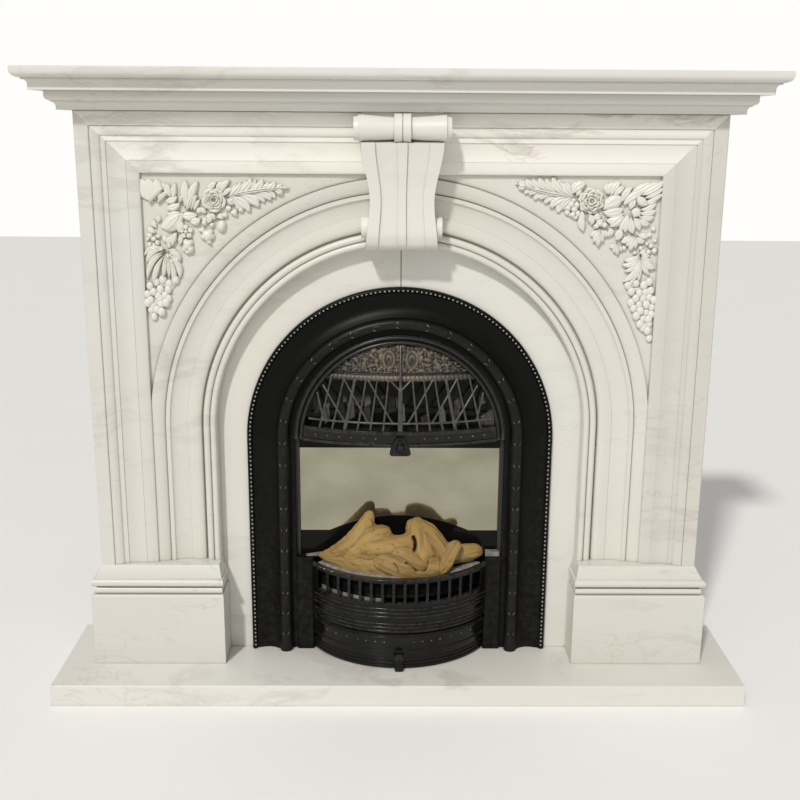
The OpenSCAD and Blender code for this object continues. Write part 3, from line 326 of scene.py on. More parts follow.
# A leaf is given by its root, tip, width, lift, bend, height and widest place.
LEFT_LEAVES = (
    (-465, 972, -489, 1016, 25, 6.5, 0.05, 1.5, 1.3), (-460, 975, -476, 1016, 16, 7, -0.04, 1.8, 1.3),
    (-456, 979, -459, 1016, 16, 7, -0.05, 2, 1.2), (-473, 970, -441, 1001, 8, 8, 0.1, 4, 1),
    (-457, 970, -432, 993, 8, 8, 0.12, 3, 1), (-439, 984, -449, 1009, 9, 7, -0.12, 2, 1),
    (-431, 981, -436, 1008, 10, 8, 0.1, 2.5, 1.1), (-427, 978, -422, 1009, 10, 7, 0.06, 2, 1),
    (-442, 975, -420, 984, 12, 7, -0.14, 2, 0.9), (-441, 962, -415, 972, 12, 8, -0.14, 3, 0.9),
    (-407, 962, -413, 1001, 12, 8, -0.12, 2, 1.2), (-400, 960, -403, 1014, 14, 9, 0.06, 3, 1.3),
    (-396, 959, -380, 1012, 13, 9, 0.1, 3, 1.4), (-394, 959, -382, 987, 10, 8, 0.12, 3.5, 1),
    (-404, 959, -392, 988, 10, 11, -0.05, 4, 1), (-389, 957, -377, 978, 8, 7, 0.1, 2, 1),
    (-415, 972, -403, 984, 7, 9, 0.2, 4, 0.9), (-361, 991, -345, 1010, 10, 7, 0.12, 1.5, 1),
    (-344, 991, -333, 1011, 10, 8, 0.12, 2, 1.1), (-337, 988, -320, 1014, 10, 8, 0.16, 2.5, 1.1),
    (-335, 984, -315, 999, 9, 7, 0.1, 2, 1), (-416, 954, -441, 951, 12, 7, 0.1, 2, 0.9),
    (-410, 954, -454, 927, 25, 9, 0.12, 2.5, 1.2), (-414, 950, -443, 921, 18, 10, -0.06, 4, 1.3),
    (-416, 941, -421, 917, 14, 8, 0.08, 3, 1.2), (-415, 950, -384, 950, 15, 7, -0.1, 2, 1.1),
    (-384, 952, -373, 962, 9, 7, 0.1, 2, 1), (-398, 937, -378, 943, 13, 8, -0.12, 3, 1),
    (-366, 954, -377, 964, 9, 7, 0.1, 2, 1), (-367, 946, -375, 935, 9, 7, 0.1, 2, 1.1),
    (-353, 949, -364, 933, 9, 8, -0.1, 3, 1.2), (-363, 950, -350, 941, 10, 7, 0.1, 2, 1),
    (-349, 943, -332, 950, 7, 7, 0.1, 2, 1.2), (-463, 917, -478, 926, 10, 6, 0.1, 1.5, 1.1),
    (-461, 925, -468, 941, 9, 6, 0.1, 1.5, 1), (-459, 935, -457, 949, 8, 6, -0.1, 1.5, 1),
    (-432, 914, -445, 895, 10, 8, 0.1, 3, 1.2), (-423, 917, -433, 891, 11, 8, -0.1, 3, 1.1),
    (-418, 914, -420, 893, 9, 7, 0.1, 2, 1.1), (-437, 899, -449, 909, 9, 7, 0.1, 2, 1.2),
    (-433, 883, -442, 870, 7, 7, 0.1, 2, 1.2), (-447, 885, -488, 872, 10, 7, -0.2, 1.5, 1.4),
    (-448, 883, -483, 858, 10, 8, -0.22, 2, 1.4), (-448, 880, -481, 845, 8, 7, -0.16, 2, 1.3),
    (-448, 877, -483, 827, 10, 8, -0.16, 2, 1.3), (-447, 875, -472, 817, 10, 8, -0.08, 3, 1.3),
    (-446, 880, -453, 830, 9, 9, 0.02, 4, 1.3), (-445, 877, -442, 830, 8, 8, 0.04, 3, 1.3),
    (-444, 877, -435, 814, 10, 8, 0.1, 2, 1.4), (-443, 875, -422, 830, 11, 8, 0.18, 2.5, 1.5),
    (-443, 877, -426, 847, 9, 8, 0.16, 2, 1.4), (-443, 880, -418, 864, 11, 9, 0.16, 3, 1.5),
    (-443, 883, -424, 877, 8, 8, 0.1, 2, 1.3))
RIGHT_LEAVES = (
    (320, 992, 345, 1012, 16, 8, 0.14, 2, 1.2), (317, 995, 310, 1014, 11, 7, 0.1, 1.5, 1.1),
    (320, 992, 324, 1016, 12, 7, -0.06, 2, 1.2), (328, 988, 338, 1000, 8, 7, 0.1, 2, 1),
    (383, 992, 384, 1013, 12, 7, -0.08, 2, 1.2), (387, 991, 398, 1015, 13, 8, 0.05, 2.5, 1.3),
    (391, 988, 409, 1016, 13, 8, 0.08, 3, 1.3), (397, 985, 418, 1005, 12, 8, 0.14, 2.5, 1.3),
    (379, 964, 396, 988, 19, 8, -0.1, 3, 1.2), (379, 963, 416, 984, 22, 9, 0.1, 3.5, 1.4),
    (377, 961, 417, 967, 17, 8, -0.14, 3, 1.2), (382, 959, 412, 961, 11, 7, -0.1, 2, 1),
    (414, 978, 433, 1006, 12, 8, 0.12, 2.5, 1), (417, 972, 454, 995, 14, 8, 0.12, 3, 1),
    (429, 995, 464, 1015, 14, 8, -0.08, 2.5, 1.1), (440, 995, 479, 1016, 13, 8, -0.06, 3, 1.1),
    (449, 991, 492, 1018, 13, 9, -0.05, 3.5, 1.1), (455, 985, 492, 1006, 10, 8, -0.04, 3, 1.1),
    (461, 979, 492, 995, 9, 8, -0.03, 2.5, 1.1), (455, 975, 482, 986, 10, 8, -0.05, 2, 1),
    (443, 991, 464, 974, 14, 10, -0.15, 4, 1), (431, 964, 441, 985, 12, 7, 0.1, 2, 1),
    (448, 964, 479, 978, 11, 8, -0.12, 2, 1.2), (446, 959, 479, 964, 12, 9, -0.14, 3, 1.3),
    (445, 953, 476, 952, 12, 9, -0.14, 3, 1.4), (443, 950, 469, 938, 12, 9, -0.12, 3, 1.4),
    (441, 950, 454, 935, 9, 8, -0.1, 2, 1.3), (432, 961, 450, 952, 17, 9, 0.1, 2, 1),
    (418, 956, 388, 956, 15, 8, 0.1, 2, 1), (421, 952, 386, 944, 15, 8, 0.12, 3, 1.2),
    (421, 950, 395, 931, 17, 9, -0.1, 3, 1.2), (426, 956, 412, 925, 15, 9, 0.08, 3, 1.2),
    (429, 953, 423, 921, 14, 9, -0.06, 3, 1.3), (432, 952, 438, 919, 14, 9, -0.05, 3, 1.3),
    (436, 950, 450, 925, 13, 8, 0.08, 2, 1.3), (414, 931, 406, 907, 14, 8, 0.1, 2, 1.2),
    (393, 931, 396, 914, 10, 7, 0.1, 2, 1.1), (377, 952, 361, 952, 13, 8, 0.1, 2, 1.2),
    (380, 947, 366, 938, 11, 8, 0.1, 2.5, 1.2), (338, 963, 337, 936, 11, 8, 0.1, 2, 1.2),
    (344, 961, 344, 923, 13, 8, -0.12, 3, 1.5), (351, 956, 358, 935, 12, 8, 0.16, 3, 1.3),
    (342, 950, 334, 940, 7, 6, 0.1, 1.5, 1), (375, 929, 357, 915, 10, 8, 0.1, 1.5, 1.6),
    (375, 929, 363, 903, 10, 9, 0.06, 2.5, 1.6), (375, 929, 372, 895, 10, 10, 0, 3.5, 1.6),
    (376, 929, 382, 903, 10, 9, -0.06, 3, 1.6), (376, 929, 392, 915, 11, 8, -0.1, 2, 1.6),
    (408, 901, 395, 893, 8, 7, 0.1, 1.5, 1.5), (408, 901, 403, 883, 8, 8, 0.05, 2, 1.5),
    (409, 901, 410, 879, 8, 9, 0, 3, 1.5), (410, 901, 420, 886, 8, 8, -0.05, 2, 1.5),
    (435, 917, 416, 903, 11, 8, 0.1, 2, 1.3), (437, 917, 426, 896, 11, 8, 0.1, 2.5, 1.4),
    (440, 917, 433, 887, 10, 8, 0.04, 3, 1.4), (442, 915, 444, 892, 10, 8, 0, 3, 1.4),
    (444, 914, 460, 903, 11, 8, -0.1, 2, 1.3), (446, 917, 470, 917, 10, 7, -0.1, 2, 1.2),
    (464, 892, 453, 881, 8, 7, 0.1, 2, 1.2), (454, 883, 424, 869, 10, 8, 0.18, 2, 1.5),
    (454, 881, 420, 860, 10, 8, 0.22, 2.5, 1.5), (454, 879, 426, 847, 10, 8, 0.18, 2, 1.4),
    (454, 878, 424, 827, 11, 9, 0.16, 2.5, 1.4), (454, 875, 432, 815, 9, 8, 0.08, 2, 1.4),
    (454, 875, 444, 830, 10, 9, 0.06, 3.5, 1.3), (455, 875, 454, 828, 9, 8, 0, 3, 1.3),
    (456, 876, 475, 841, 10, 8, -0.1, 2, 1.4), (456, 879, 485, 855, 13, 9, -0.18, 3, 1.5),
    (456, 881, 478, 865, 10, 8, -0.12, 2.5, 1.4), (456, 882, 473, 878, 9, 7, -0.1, 2, 1.2))
# A spray is given by the tips of its leaflets, (x, z, width), the end of the rib first.
LEFT_SPRAY = (
    (-212, 1000, 9), (-225, 1006, 9), (-237, 1011, 9), (-248, 1011, 8), (-259, 1016, 9), (-272, 1016, 8),
    (-280, 1018, 9), (-290, 1013, 8), (-300, 1010, 8), (-309, 1007, 8), (-223, 989, 9), (-236, 982, 9),
    (-244, 978, 9), (-256, 974, 9), (-267, 966, 12), (-277, 970, 8), (-284, 956, 11), (-293, 962, 8),
    (-300, 957, 8))
RIGHT_SPRAY = (
    (214, 1010, 9), (221, 1016, 9), (232, 1019, 9), (244, 1020, 9), (256, 1022, 9), (269, 1021, 9),
    (281, 1023, 10), (292, 1019, 10), (303, 1013, 10), (311, 1006, 9), (219, 1001, 9), (229, 993, 9),
    (238, 990, 8), (247, 982, 10), (258, 982, 8), (267, 975, 10), (278, 967, 11), (292, 958, 12),
    (300, 964, 9), (308, 961, 8))
# A bud is given by its middle, its two radii and height, and some have a turn and flutes. A grape
# is given by its middle.
LEFT_BUDS = (
    (-319, 975, 9, 8, 9), (-319, 977, 7, 5, 11), (-332, 949, 6, 5, 8), (-325, 962, 6, 6, 6),
    (-314, 954, 8, 8, 9, 0, 3), (-302, 960, 6, 6, 8), (-307, 964, 6, 5, 7), (-339, 929, 9, 12, 11, -8, 0),
    (-340, 946, 8, 6, 8, 0, 3), (-362, 946, 6, 6, 9), (-371, 935, 6, 6, 8), (-357, 931, 5, 5, 8),
    (-376, 921, 7, 6, 8, 0, 3), (-366, 911, 15, 14, 11, 20, 5), (-363, 899, 6, 5, 9, 0, 3),
    (-404, 893, 12, 14, 11, -10, 4), (-399, 885, 7, 8, 10), (-405, 880, 6, 5, 8), (-410, 885, 6, 6, 8),
    (-427, 872, 8, 9, 8), (-426, 865, 9, 8, 9, 0, 3), (-436, 862, 5, 6, 8), (-443, 872, 5, 6, 8),
    (-439, 893, 5, 7, 8), (-475, 910, 6, 6, 7), (-468, 904, 6, 5, 7), (-461, 897, 5, 6, 8),
    (-476, 893, 5, 6, 7), (-469, 885, 7, 5, 8), (-468, 893, 4, 4, 5), (-447, 904, 5, 7, 8),
    (-455, 885, 5, 5, 7), (-479, 904, 4, 4, 6), (-459, 909, 5, 4, 7))
RIGHT_BUDS = (
    (318, 974, 8, 8, 8), (313, 967, 8, 7, 8, 0, 3), (325, 964, 7, 7, 8), (322, 954, 8, 7, 9, 0, 3),
    (312, 958, 6, 6, 7), (332, 956, 6, 7, 8), (322, 981, 6, 6, 8), (329, 972, 6, 7, 9),
    (328, 949, 6, 4, 7), (374, 938, 8, 7, 9), (368, 933, 6, 6, 8), (383, 935, 7, 6, 8),
    (391, 918, 7, 6, 8, 0, 3), (477, 928, 5, 5, 6), (470, 917, 5, 5, 7), (481, 906, 4, 4, 6),
    (457, 905, 5, 5, 7), (474, 896, 5, 5, 7), (481, 887, 6, 6, 8), (470, 885, 6, 5, 7),
    (462, 881, 6, 5, 7), (466, 900, 4, 4, 6), (455, 892, 5, 5, 7), (444, 883, 4, 4, 6),
    (423, 892, 5, 5, 7))
LEFT_GRAPES = (
    (-467, 822), (-454, 827), (-479, 815), (-443, 819), (-430, 827), (-473, 804), (-460, 808), (-445, 808),
    (-484, 799), (-465, 796), (-451, 797), (-479, 788), (-461, 791), (-445, 791), (-485, 783), (-475, 777),
    (-460, 780), (-450, 783), (-479, 769), (-468, 769), (-459, 765), (-474, 755))
RIGHT_GRAPES = (
    (450, 825), (465, 821), (475, 828), (435, 821), (442, 809), (457, 806), (469, 808), (479, 811),
    (451, 796), (465, 796), (477, 798), (486, 793), (443, 787), (458, 784), (472, 784), (483, 779),
    (448, 776), (461, 772), (473, 769), (483, 765), (454, 762), (467, 756), (478, 755), (462, 746),
    (480, 746), (469, 739), (477, 733), (482, 718))


def quads(grid):
    """Faces between the neighbours of a grid of point numbers."""
    corners = grid[:-1, :-1], grid[:-1, 1:], grid[1:, 1:], grid[1:, :-1]
    return np.stack(corners, -1).reshape(-1, 4).tolist()


def closed_sheet(grid):
    """Grid of points as quads, with its border carried straight down into the ground."""
    top = grid.reshape(-1, 3)
    index = np.arange(len(top)).reshape(grid.shape[:2])
    rim = np.concatenate([index[0], index[1:, -1], index[-1, -2::-1], index[-2::-1, 0]])
    foot = top[rim[:-1]].copy()
    foot[:, 2] = SUNK
    under = len(top) + np.arange(len(rim)) % len(foot)
    return np.vstack([top, foot]), quads(index) + quads(np.stack([rim, under], 1))


def leaf(root, tip, width, lift, bend=0.0, base=0.0, belly=1.0, crease=0.30, along=20, across=5):
    """Leaf or petal between two points. Its half width is the sine of the way along, to the power
    belly, which puts the widest place nearer the root or the tip. Its height is a crown on each
    side of a sharp crease that runs down the middle, and bend bows it aside by a parabola."""
    root, tip = np.array(root, float), np.array(tip, float)
    u = np.linspace(0, 1, along + 1)[:, None]
    s = np.linspace(-1, 1, 2 * across + 1)[None, :]
    way = tip - root
    length = np.linalg.norm(way)
    way /= length
    aside = np.array([-way[1], way[0]])
    slope = np.arctan(4 * bend * (1 - 2 * u))
    half = 0.5 * width * np.sin(np.pi * u ** belly) ** 0.8 * (1 - 0.12 * u) * s
    forward = u * length - half * np.sin(slope)
    side = 4 * bend * u * (1 - u) * length + half * np.cos(slope)
    x = root[0] + forward * way[0] + side * aside[0]
    z = root[1] + forward * way[1] + side * aside[1]
    ends = np.sin(np.pi * np.clip(0.05 + 0.9 * u, 0, 1)) ** 0.4
    wide = np.abs(s)
    crown = 0.34 + 0.66 * (1 - wide ** 2.4)
    groove = crease * np.exp(-(wide / 0.16) ** 1.3) * np.sin(np.pi * u) ** 0.3
    return closed_sheet(np.stack([x, z, base + lift * ends * (crown - groove)], -1)[:, ::-1])


def dome(centre, radii, height, turn=0.0, base=0.0, flutes=0, depth=0.0, around=18, rings=6):
    """Egg or ball that stands on the ground: an ellipse of the two radii, rounded over to the
    height, and pinched by flutes that run to its top."""
    phi = np.linspace(0, np.pi / 2, rings + 1)[1:, None]
    theta = np.linspace(0, 2 * np.pi, around, endpoint=False)[None, :]
    pinch = 1 - depth * (0.5 + 0.5 * np.cos(flutes * theta)) ** 2 if flutes else np.ones_like(theta)
    a = radii[0] * np.sin(phi) * np.cos(theta) * pinch
    b = radii[1] * np.sin(phi) * np.sin(theta) * pinch
    c, d = math.cos(math.radians(turn)), math.sin(math.radians(turn))
    h = base + height * np.cos(phi) * np.ones_like(theta)
    ring = np.stack([centre[0] + a * c - b * d, centre[1] + a * d + b * c, h], -1)
    foot = ring[-1].copy()
    foot[:, 2] = SUNK
    points = np.vstack([[[centre[0], centre[1], base + height]], ring.reshape(-1, 3), foot])
    index = 1 + np.arange((rings + 1) * around).reshape(rings + 1, around)
    index = np.hstack([index, index[:, :1]])
    cap = [[0, j, k] for j, k in zip(index[0, :-1].tolist(), index[0, 1:].tolist())]
    return points, cap + quads(index.T)


def petal(x, z, near, far, start, end, low, high, ruffle):
    """Cupped petal of a rose: a piece of a ring about (x, z), from the angle start to end. Its
    outer edge is drawn in at both ends, and its height rises from low to a lip, high, that rolls
    over. ruffle waves the lip."""
    u = np.linspace(0, 1, 17)[:, None]
    t = np.linspace(0, 1, 9)[None, :]
    theta = np.radians(start + (end - start) * u)
    tuck = np.sin(np.pi * (0.04 + 0.92 * u)) ** 0.45
    wave = 1 + ruffle * np.sin(5 * np.pi * u + start)
    r = near + (far * wave - near) * tuck * t
    lip = np.sin(0.5 * np.pi * np.minimum(t / 0.82, 1)) ** 1.6 - 3.3 * np.maximum(t - 0.82, 0)
    h = low + (high - low) * tuck * lip
    return closed_sheet(np.stack([x + r * np.cos(theta), z + r * np.sin(theta), h], -1))


def rose(x, z, r, rings, heart, heart_height, ruffle=0.0):
    """Rose: rings of cupped petals, each (count, near, far, low, high, first angle) as parts of
    its radius, about a round heart."""
    made = []
    for count, near, far, low, high, first in rings:
        span = 360 / count
        for k in range(count):
            made.append(petal(x, z, near * r, far * r, first + span * (k - 0.13), first + span * (k + 1.13),
                              low * r + 0.3 * (k % 2), high * r + 0.9 * (k % 2), ruffle))
    made.append(dome((x, z), (heart * r, heart * r), heart_height * r, flutes=3, depth=FLUTE_DEPTH))
    return made


def daisy(x, z, r, turn, base):
    """Small open flower: five rounded petals about a button."""
    made = []
    for k in range(5):
        a = math.radians(72 * k + turn)
        out = np.array([math.cos(a), math.sin(a)])
        made.append(leaf([x, z] + 0.15 * r * out, [x, z] + r * out, 0.85 * r, 0.35 * r,
                         base=base, belly=1.3, along=8, across=4))
    made.append(dome((x, z), (0.28 * r, 0.28 * r), 0.45 * r, base=base))
    return made


def spray(root, tips):
    """Long serrated leaf: a rib from the root to the first tip, and a leaflet to every other tip.
    A leaflet leaves the rib behind its tip, by 1.25 times its own distance from the rib, sweeps
    forward over the one before, and ends in a bead. A low leaf lies under them all."""
    root, end = np.array(root, float), np.array(tips[0][:2], float)
    way = (end - root) / np.linalg.norm(end - root)
    across = np.array([-way[1], way[0]])
    made = [leaf(root - 6 * way, end, tips[0][2], 9.5, 0.03, 3.5, 0.8, crease=0.4),
            leaf(root, end, 27, 4.6, 0.02, belly=0.9, crease=0.0), dome(end, (2.2, 2.2), 5)]
    for k, (x, z, width) in enumerate(tips[1:]):
        tip = np.array([x, z], float)
        ahead, off = (tip - root) @ way, (tip - root) @ across
        foot = root + way * max(ahead - 1.25 * abs(off) - 5, -5 + 0.6 * k % 3)
        made.append(leaf(foot, tip, width * 1.75, 6.4 + 0.8 * (k % 2), 0.13 * (1 if off < 0 else -1),
                         1.8 + 1.5 * (k % 2), 1.45, crease=0.34, along=16))
        made.append(dome(tip - 0.12 * (tip - foot), (width * 0.34, width * 0.34), 7.0 + 1.2 * (k % 2),
                         around=12, rings=4))
    return made


def garland(leaves, spray_root, tips, buds, grapes):
    """All shapes of one corner: leaves, spray, buds and berries, and grapes that stand deeper in
    the middle of their bunch than at its edge."""
    made = [leaf((x0, z0), (x1, z1), LEAF_WIDER * width, LEAF_LOWER * lift, bend, base, belly, crease=0.22)
            for x0, z0, x1, z1, width, lift, bend, base, belly in leaves]
    made += spray(spray_root, tips)
    for x, z, a, b, height, *more in buds:
        turn, flutes = more or (0, 0)
        made.append(dome((x, z), (a, b), height, turn, 0.8, flutes, FLUTE_DEPTH))
    for k, (x, z) in enumerate(grapes):
        r = GRAPE_R + GRAPE_UNEVEN * math.sin(2.3 * k)
        made.append(dome((x, z), (r, r * 1.16), r * 0.72, base=2.2 + 1.3 * (k % 3)))
    for (x0, z0), (x1, z1) in zip(grapes[:-3:2], grapes[3::2]):
        made.append(leaf((x0, z0 + 6), (x1, z1 - 6), 16, 4.5, crease=0.0, along=8, across=3))
    return made


def mesh_of(name, shapes, place):
    """Object of shapes, each (points, faces), whose points place turns into metres."""
    points, faces, start = [], [], 0
    for shape_points, shape_faces in shapes:
        points.append(shape_points)
        faces += [[i + start for i in face] for face in shape_faces]
        start += len(shape_points)
    mesh = bpy.data.meshes.new(name)
    mesh.from_pydata(place(np.vstack(points)).tolist(), [], faces)
    return link_up(name, mesh)


def add_piece(name, shapes, place, material, body="surround", node=None):
    """Smooth piece of the shapes that rides on the body, takes the given material, and stands for the
    CAD node where one is named."""
    piece = mesh_of(name, shapes, place)
    piece.data.polygons.foreach_set("use_smooth", [True] * len(piece.data.polygons))
    piece.data.set_sharp_from_angle(angle=math.radians(55))
    piece.data.materials.append(material)
    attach(piece, body)
    if node:
        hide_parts(node)
    return piece


def on_wall(depth, rise=0.0):
    """Place for a relief on an upright ground at the depth, raised by rise, in millimetres."""
    return lambda p: np.stack([p[:, 0], -(depth + p[:, 2]), p[:, 1] + rise], -1) * MM


marble_carved = make_marble("marble_carved", (2.0, 9.0, 6.0), (0.75, 0.735, 0.685), 0.10, 0.0006)
add_piece("left_garland", garland(LEFT_LEAVES, (-322, 985), LEFT_SPRAY, LEFT_BUDS, LEFT_GRAPES)
          + rose(-352, 977, 21, OPEN_ROSE, 0.13, 0.34) + daisy(-406, 918, 14, 20, 4),
          on_wall(SPANDREL_DEPTH), marble_carved, node="left_carving")
add_piece("right_garland", garland(RIGHT_LEAVES, (320, 988), RIGHT_SPRAY, RIGHT_BUDS, RIGHT_GRAPES)
          + rose(356, 980, 23, BALL_ROSE, 0.14, 0.70, 0.05),
          on_wall(SPANDREL_DEPTH), marble_carved, node="right_carving")


# Keystone: a fluted console with a scroll at its foot, over the joint of the two panels, and a
# double scroll on its head. It is carved from the same white block as the garlands.
dress(marble_carved, "keystone_console", "keystone_scroll")


# Bed moulding, cornice and shelf: two runs of moulding, each a front and two mitred returns, are
# built up under the plain mantelshelf.
RUNS = [f"{run}_{part}" for run in ("bed", "cornice") for part in ("front", "left_return", "right_return")]
dress(make_marble("marble_shelf", (3.3, 2.2, 9.9), (0.72, 0.71, 0.672), 0.40), *RUNS, "shelf_slab")


# Slips: two flat cheeks of marble round the insert. They meet at the crown, below the keystone, in
# a thin line of dark cement.
CEMENT = (0.12, 0.095, 0.065)
JOINT_CORE, JOINT_EDGE = 0.0006, 0.0013


def axes_of(tree, vector):
    """X, Y and Z of a vector."""
    return add_node(tree, "ShaderNodeSeparateXYZ", {0: vector}).outputs


def paint_over(tree, mask, colour):
    """Lays a colour over the material's own where the mask says."""
    base = tree.nodes["Principled BSDF"].inputs["Base Color"]
    put(tree, base, mix_colours(tree, mask, base.links[0].from_socket, colour))


def add_joint(material):
    """Line of cement where | x | is small."""
    tree = material.node_tree
    x = axes_of(tree, add_node(tree, "ShaderNodeTexCoord", {}).outputs["Object"])["X"]
    paint_over(tree, ramp(tree, maths(tree, "ABSOLUTE", x), JOINT_EDGE, JOINT_CORE), CEMENT)


marble_slip = make_marble("marble_slip", (7.6, 5.2, 3.4), (0.71, 0.70, 0.655), 0.22)
add_joint(marble_slip)
dress(marble_slip, "left_slip", "right_slip")


# Arched casting and jamb plates: the iron front of the insert, cast in sand and finished satin
# black. Pearls run round its rim and down its legs, and a row of husks follows the crown of its
# column moulding. The husks' tips carry painted glints, and the crown has a painted grey sheen.
SPRING_Z = 504.0
IRON_BLACK, IRON_WORN = (0.0028, 0.0029, 0.0027), (0.04, 0.039, 0.037)
# Painted sheen: the grey laid along the crown of the column moulding.
ROLL_PAINTED_SHEEN = (0.017, 0.0168, 0.0155)
DUST = (0.34, 0.33, 0.30)
PEARL_R, PEARL_PITCH, PEARL_FOOT, RIM_DEPTH = 300.4, 9.0, 52.0, 111.2
ROLL_R, ROLL_DEPTH, ROLL_HALF = 235.0, 112.0, 13.0
HUSK_PITCH, HUSK_FOOT = 46.0, 70.0


def make_crest_wear_and_highlight():
    """Mask of wear and painted highlights on the crests: how far a point stands out (pointiness),
    broken up by a fine noise. Skin is the grain of the sand mould."""
    group, given, result = new_group("crest_wear_and_highlight", ["Vector"], ["Wear", "Skin"])
    at = given.outputs[0]
    # Crests found by pointiness: lighter as wear and as painted highlight.
    crest = ramp(group, group.nodes.new("ShaderNodeNewGeometry").outputs["Pointiness"], 0.515, 0.60)
    broken = ramp(group, noise(group, at, 90.0, 4.0), 0.38, 0.66)
    put(group, result.inputs["Wear"], maths(group, "MULTIPLY", crest, broken))
    put(group, result.inputs["Skin"], noise(group, at, 620.0, 4.0, 0.65))
    return group


CREST_WEAR_AND_HIGHLIGHT = make_crest_wear_and_highlight()


def make_casting(name, dark, worn_and_highlight, wear_and_highlight=0.5, rough=(0.34, 0.46), edge=0.0008, shine=0.22, dust=0.0,
                 skin=0.00022):
    """Cast iron under satin black: dark in the field, lighter on the crests, partly as wear and partly
    as a painted highlight, with a sand skin, and pale dust on the faces that look up."""
    material, tree, at = new_material(name)
    marks = add_node(tree, "ShaderNodeGroup", {0: at}, node_tree=CREST_WEAR_AND_HIGHLIGHT).outputs
    patchy = mix_colours(tree, noise(tree, at, 22.0, 3.0), dark, tuple(1.5 * c for c in dark))
    colour = mix_colours(tree, maths(tree, "MULTIPLY", marks["Wear"], wear_and_highlight), patchy, worn_and_highlight)
    if dust:
        facing = axes_of(tree, tree.nodes.new("ShaderNodeNewGeometry").outputs["Normal"])
        patches = ramp(tree, noise(tree, at, 30.0, 3.0), 0.3, 0.6, 0.4 * dust, dust)
        lies = maths(tree, "MULTIPLY", ramp(tree, facing["Z"], 0.75, 0.98), patches)
        colour = mix_colours(tree, lies, colour, DUST)
    coat(tree, {"Base Color": colour, "Roughness": ramp(tree, noise(tree, at, 45.0, 3.0), 0.3, 0.7, *rough),
                "Normal": bumped(tree, marks["Skin"], skin, 0.55, edge), "Specular IOR Level": shine})
    return material


def paint_roll_sheen(material):
    """Paints a grey sheen, a painted highlight, on the crown of the column moulding, which follows the
    arch and then its two legs: far is | length(x, max(z - springing, 0)) - radius |."""
    tree = material.node_tree
    at = add_node(tree, "ShaderNodeTexCoord", {}).outputs["Object"]
    place = axes_of(tree, at)
    above = maths(tree, "MAXIMUM", maths(tree, "SUBTRACT", place["Z"], SPRING_Z * MM), 0.0)
    flat = add_node(tree, "ShaderNodeCombineXYZ", {"X": place["X"], "Z": above}).outputs[0]
    length = add_node(tree, "ShaderNodeVectorMath", {0: flat}, operation="LENGTH").outputs["Value"]
    far = maths(tree, "ABSOLUTE", maths(tree, "SUBTRACT", length, ROLL_R * MM))
    # Painted highlight: lightens the crown of the roll.
    painted_sheen = maths(tree, "MULTIPLY", ramp(tree, far, 0.012, 0.005),
                   ramp(tree, noise(tree, at, 60.0, 4.0), 0.35, 0.70, 0.45, 1.0))
    paint_over(tree, painted_sheen, ROLL_PAINTED_SHEEN)
    coat(tree, {"Roughness": ramp(tree, painted_sheen, 0.0, 1.0, 0.40, 0.28)})


def arch_stations(radius, pitch, foot_z):
    """Even places up the left leg of an arch, round it and down its right leg: (x, z, direction).
    The angle a turns from pi to 0 over the round part, and the legs go down where it stands."""
    straight, round_part = SPRING_Z - foot_z, np.pi * radius
    count = int((2 * straight + round_part) // pitch)
    spare = 2 * straight + round_part - count * pitch
    way = np.arange(count + 1) * pitch + 0.5 * spare
    a = np.pi - np.clip((way - straight) / radius, 0, np.pi)
    below = np.maximum(straight - way, 0) + np.maximum(way - straight - round_part, 0)
    return list(zip(radius * np.cos(a), SPRING_Z + radius * np.sin(a) - below, a - np.pi / 2))


def on_roll(p):
    """Place for a relief on the round column moulding: its crown follows the arch, and falls away
    on each side as a circle of the radius ROLL_HALF."""
    far = np.where(p[:, 1] > SPRING_Z, np.hypot(p[:, 0], p[:, 1] - SPRING_Z), np.abs(p[:, 0]))
    off = np.clip(far - ROLL_R, 1 - ROLL_HALF, ROLL_HALF - 1)
    crown = ROLL_DEPTH + np.sqrt(ROLL_HALF ** 2 - off ** 2)
    return np.stack([p[:, 0], -(crown + p[:, 2]), p[:, 1]], -1) * MM


def smooth_line(points, steps):
    """Catmull-Rom curve through the points, with steps parts between each two."""
    padded = np.vstack([2 * points[0] - points[1], points, 2 * points[-1] - points[-2]])
    p0, p1, p2, p3 = (padded[i:len(points) - 1 + i, None] for i in range(4))
    t = np.linspace(0, 1, steps, endpoint=False)[None, :, None]
    curve = 0.5 * (2 * p1 + (p2 - p0) * t + (2 * p0 - 5 * p1 + 4 * p2 - p3) * t * t
                   + (3 * p1 - p0 - 3 * p2 + p3) * t ** 3)
    return np.vstack([curve.reshape(-1, points.shape[1]), points[-1:]])


def tube_skin(rings):
    """Quads over rings of points, closed at both ends: rings is (count, round, 3)."""
    index = np.arange(rings.shape[0] * rings.shape[1]).reshape(rings.shape[:2])
    sides = quads(np.hstack([index, index[:, :1]]))
    return rings.reshape(-1, 3), sides + [index[0, ::-1].tolist(), index[-1].tolist()]


def frames(line, up):
    """Axes along a line: its direction, the cross product of that and up, and their own."""
    run = np.gradient(line, axis=0)
    run /= np.linalg.norm(run, axis=1)[:, None]
    side = np.cross(run, up)
    side /= np.maximum(np.linalg.norm(side, axis=1), 1e-6)[:, None]
    return run, side, np.cross(run, side)


def tube(line, radii, side, over, around):
    """Closed tube: a circle in the plane of side and over is carried along the line."""
    theta = np.linspace(0, 2 * np.pi, around, endpoint=False)[None, :, None]
    circle = np.cos(theta) * side[:, None] + np.sin(theta) * over[:, None]
    return tube_skin(line[:, None] + radii[:, None, None] * circle)


def strand(points, radii):
    """Rounded stem through points of (x, z, h), with a radius at each, smoothed between them."""
    rows = smooth_line(np.column_stack([points, radii]).astype(float), 6)
    return tube(rows[:, :3], rows[:, 3], *frames(rows[:, :3], (0, 0, 1))[1:], 8)


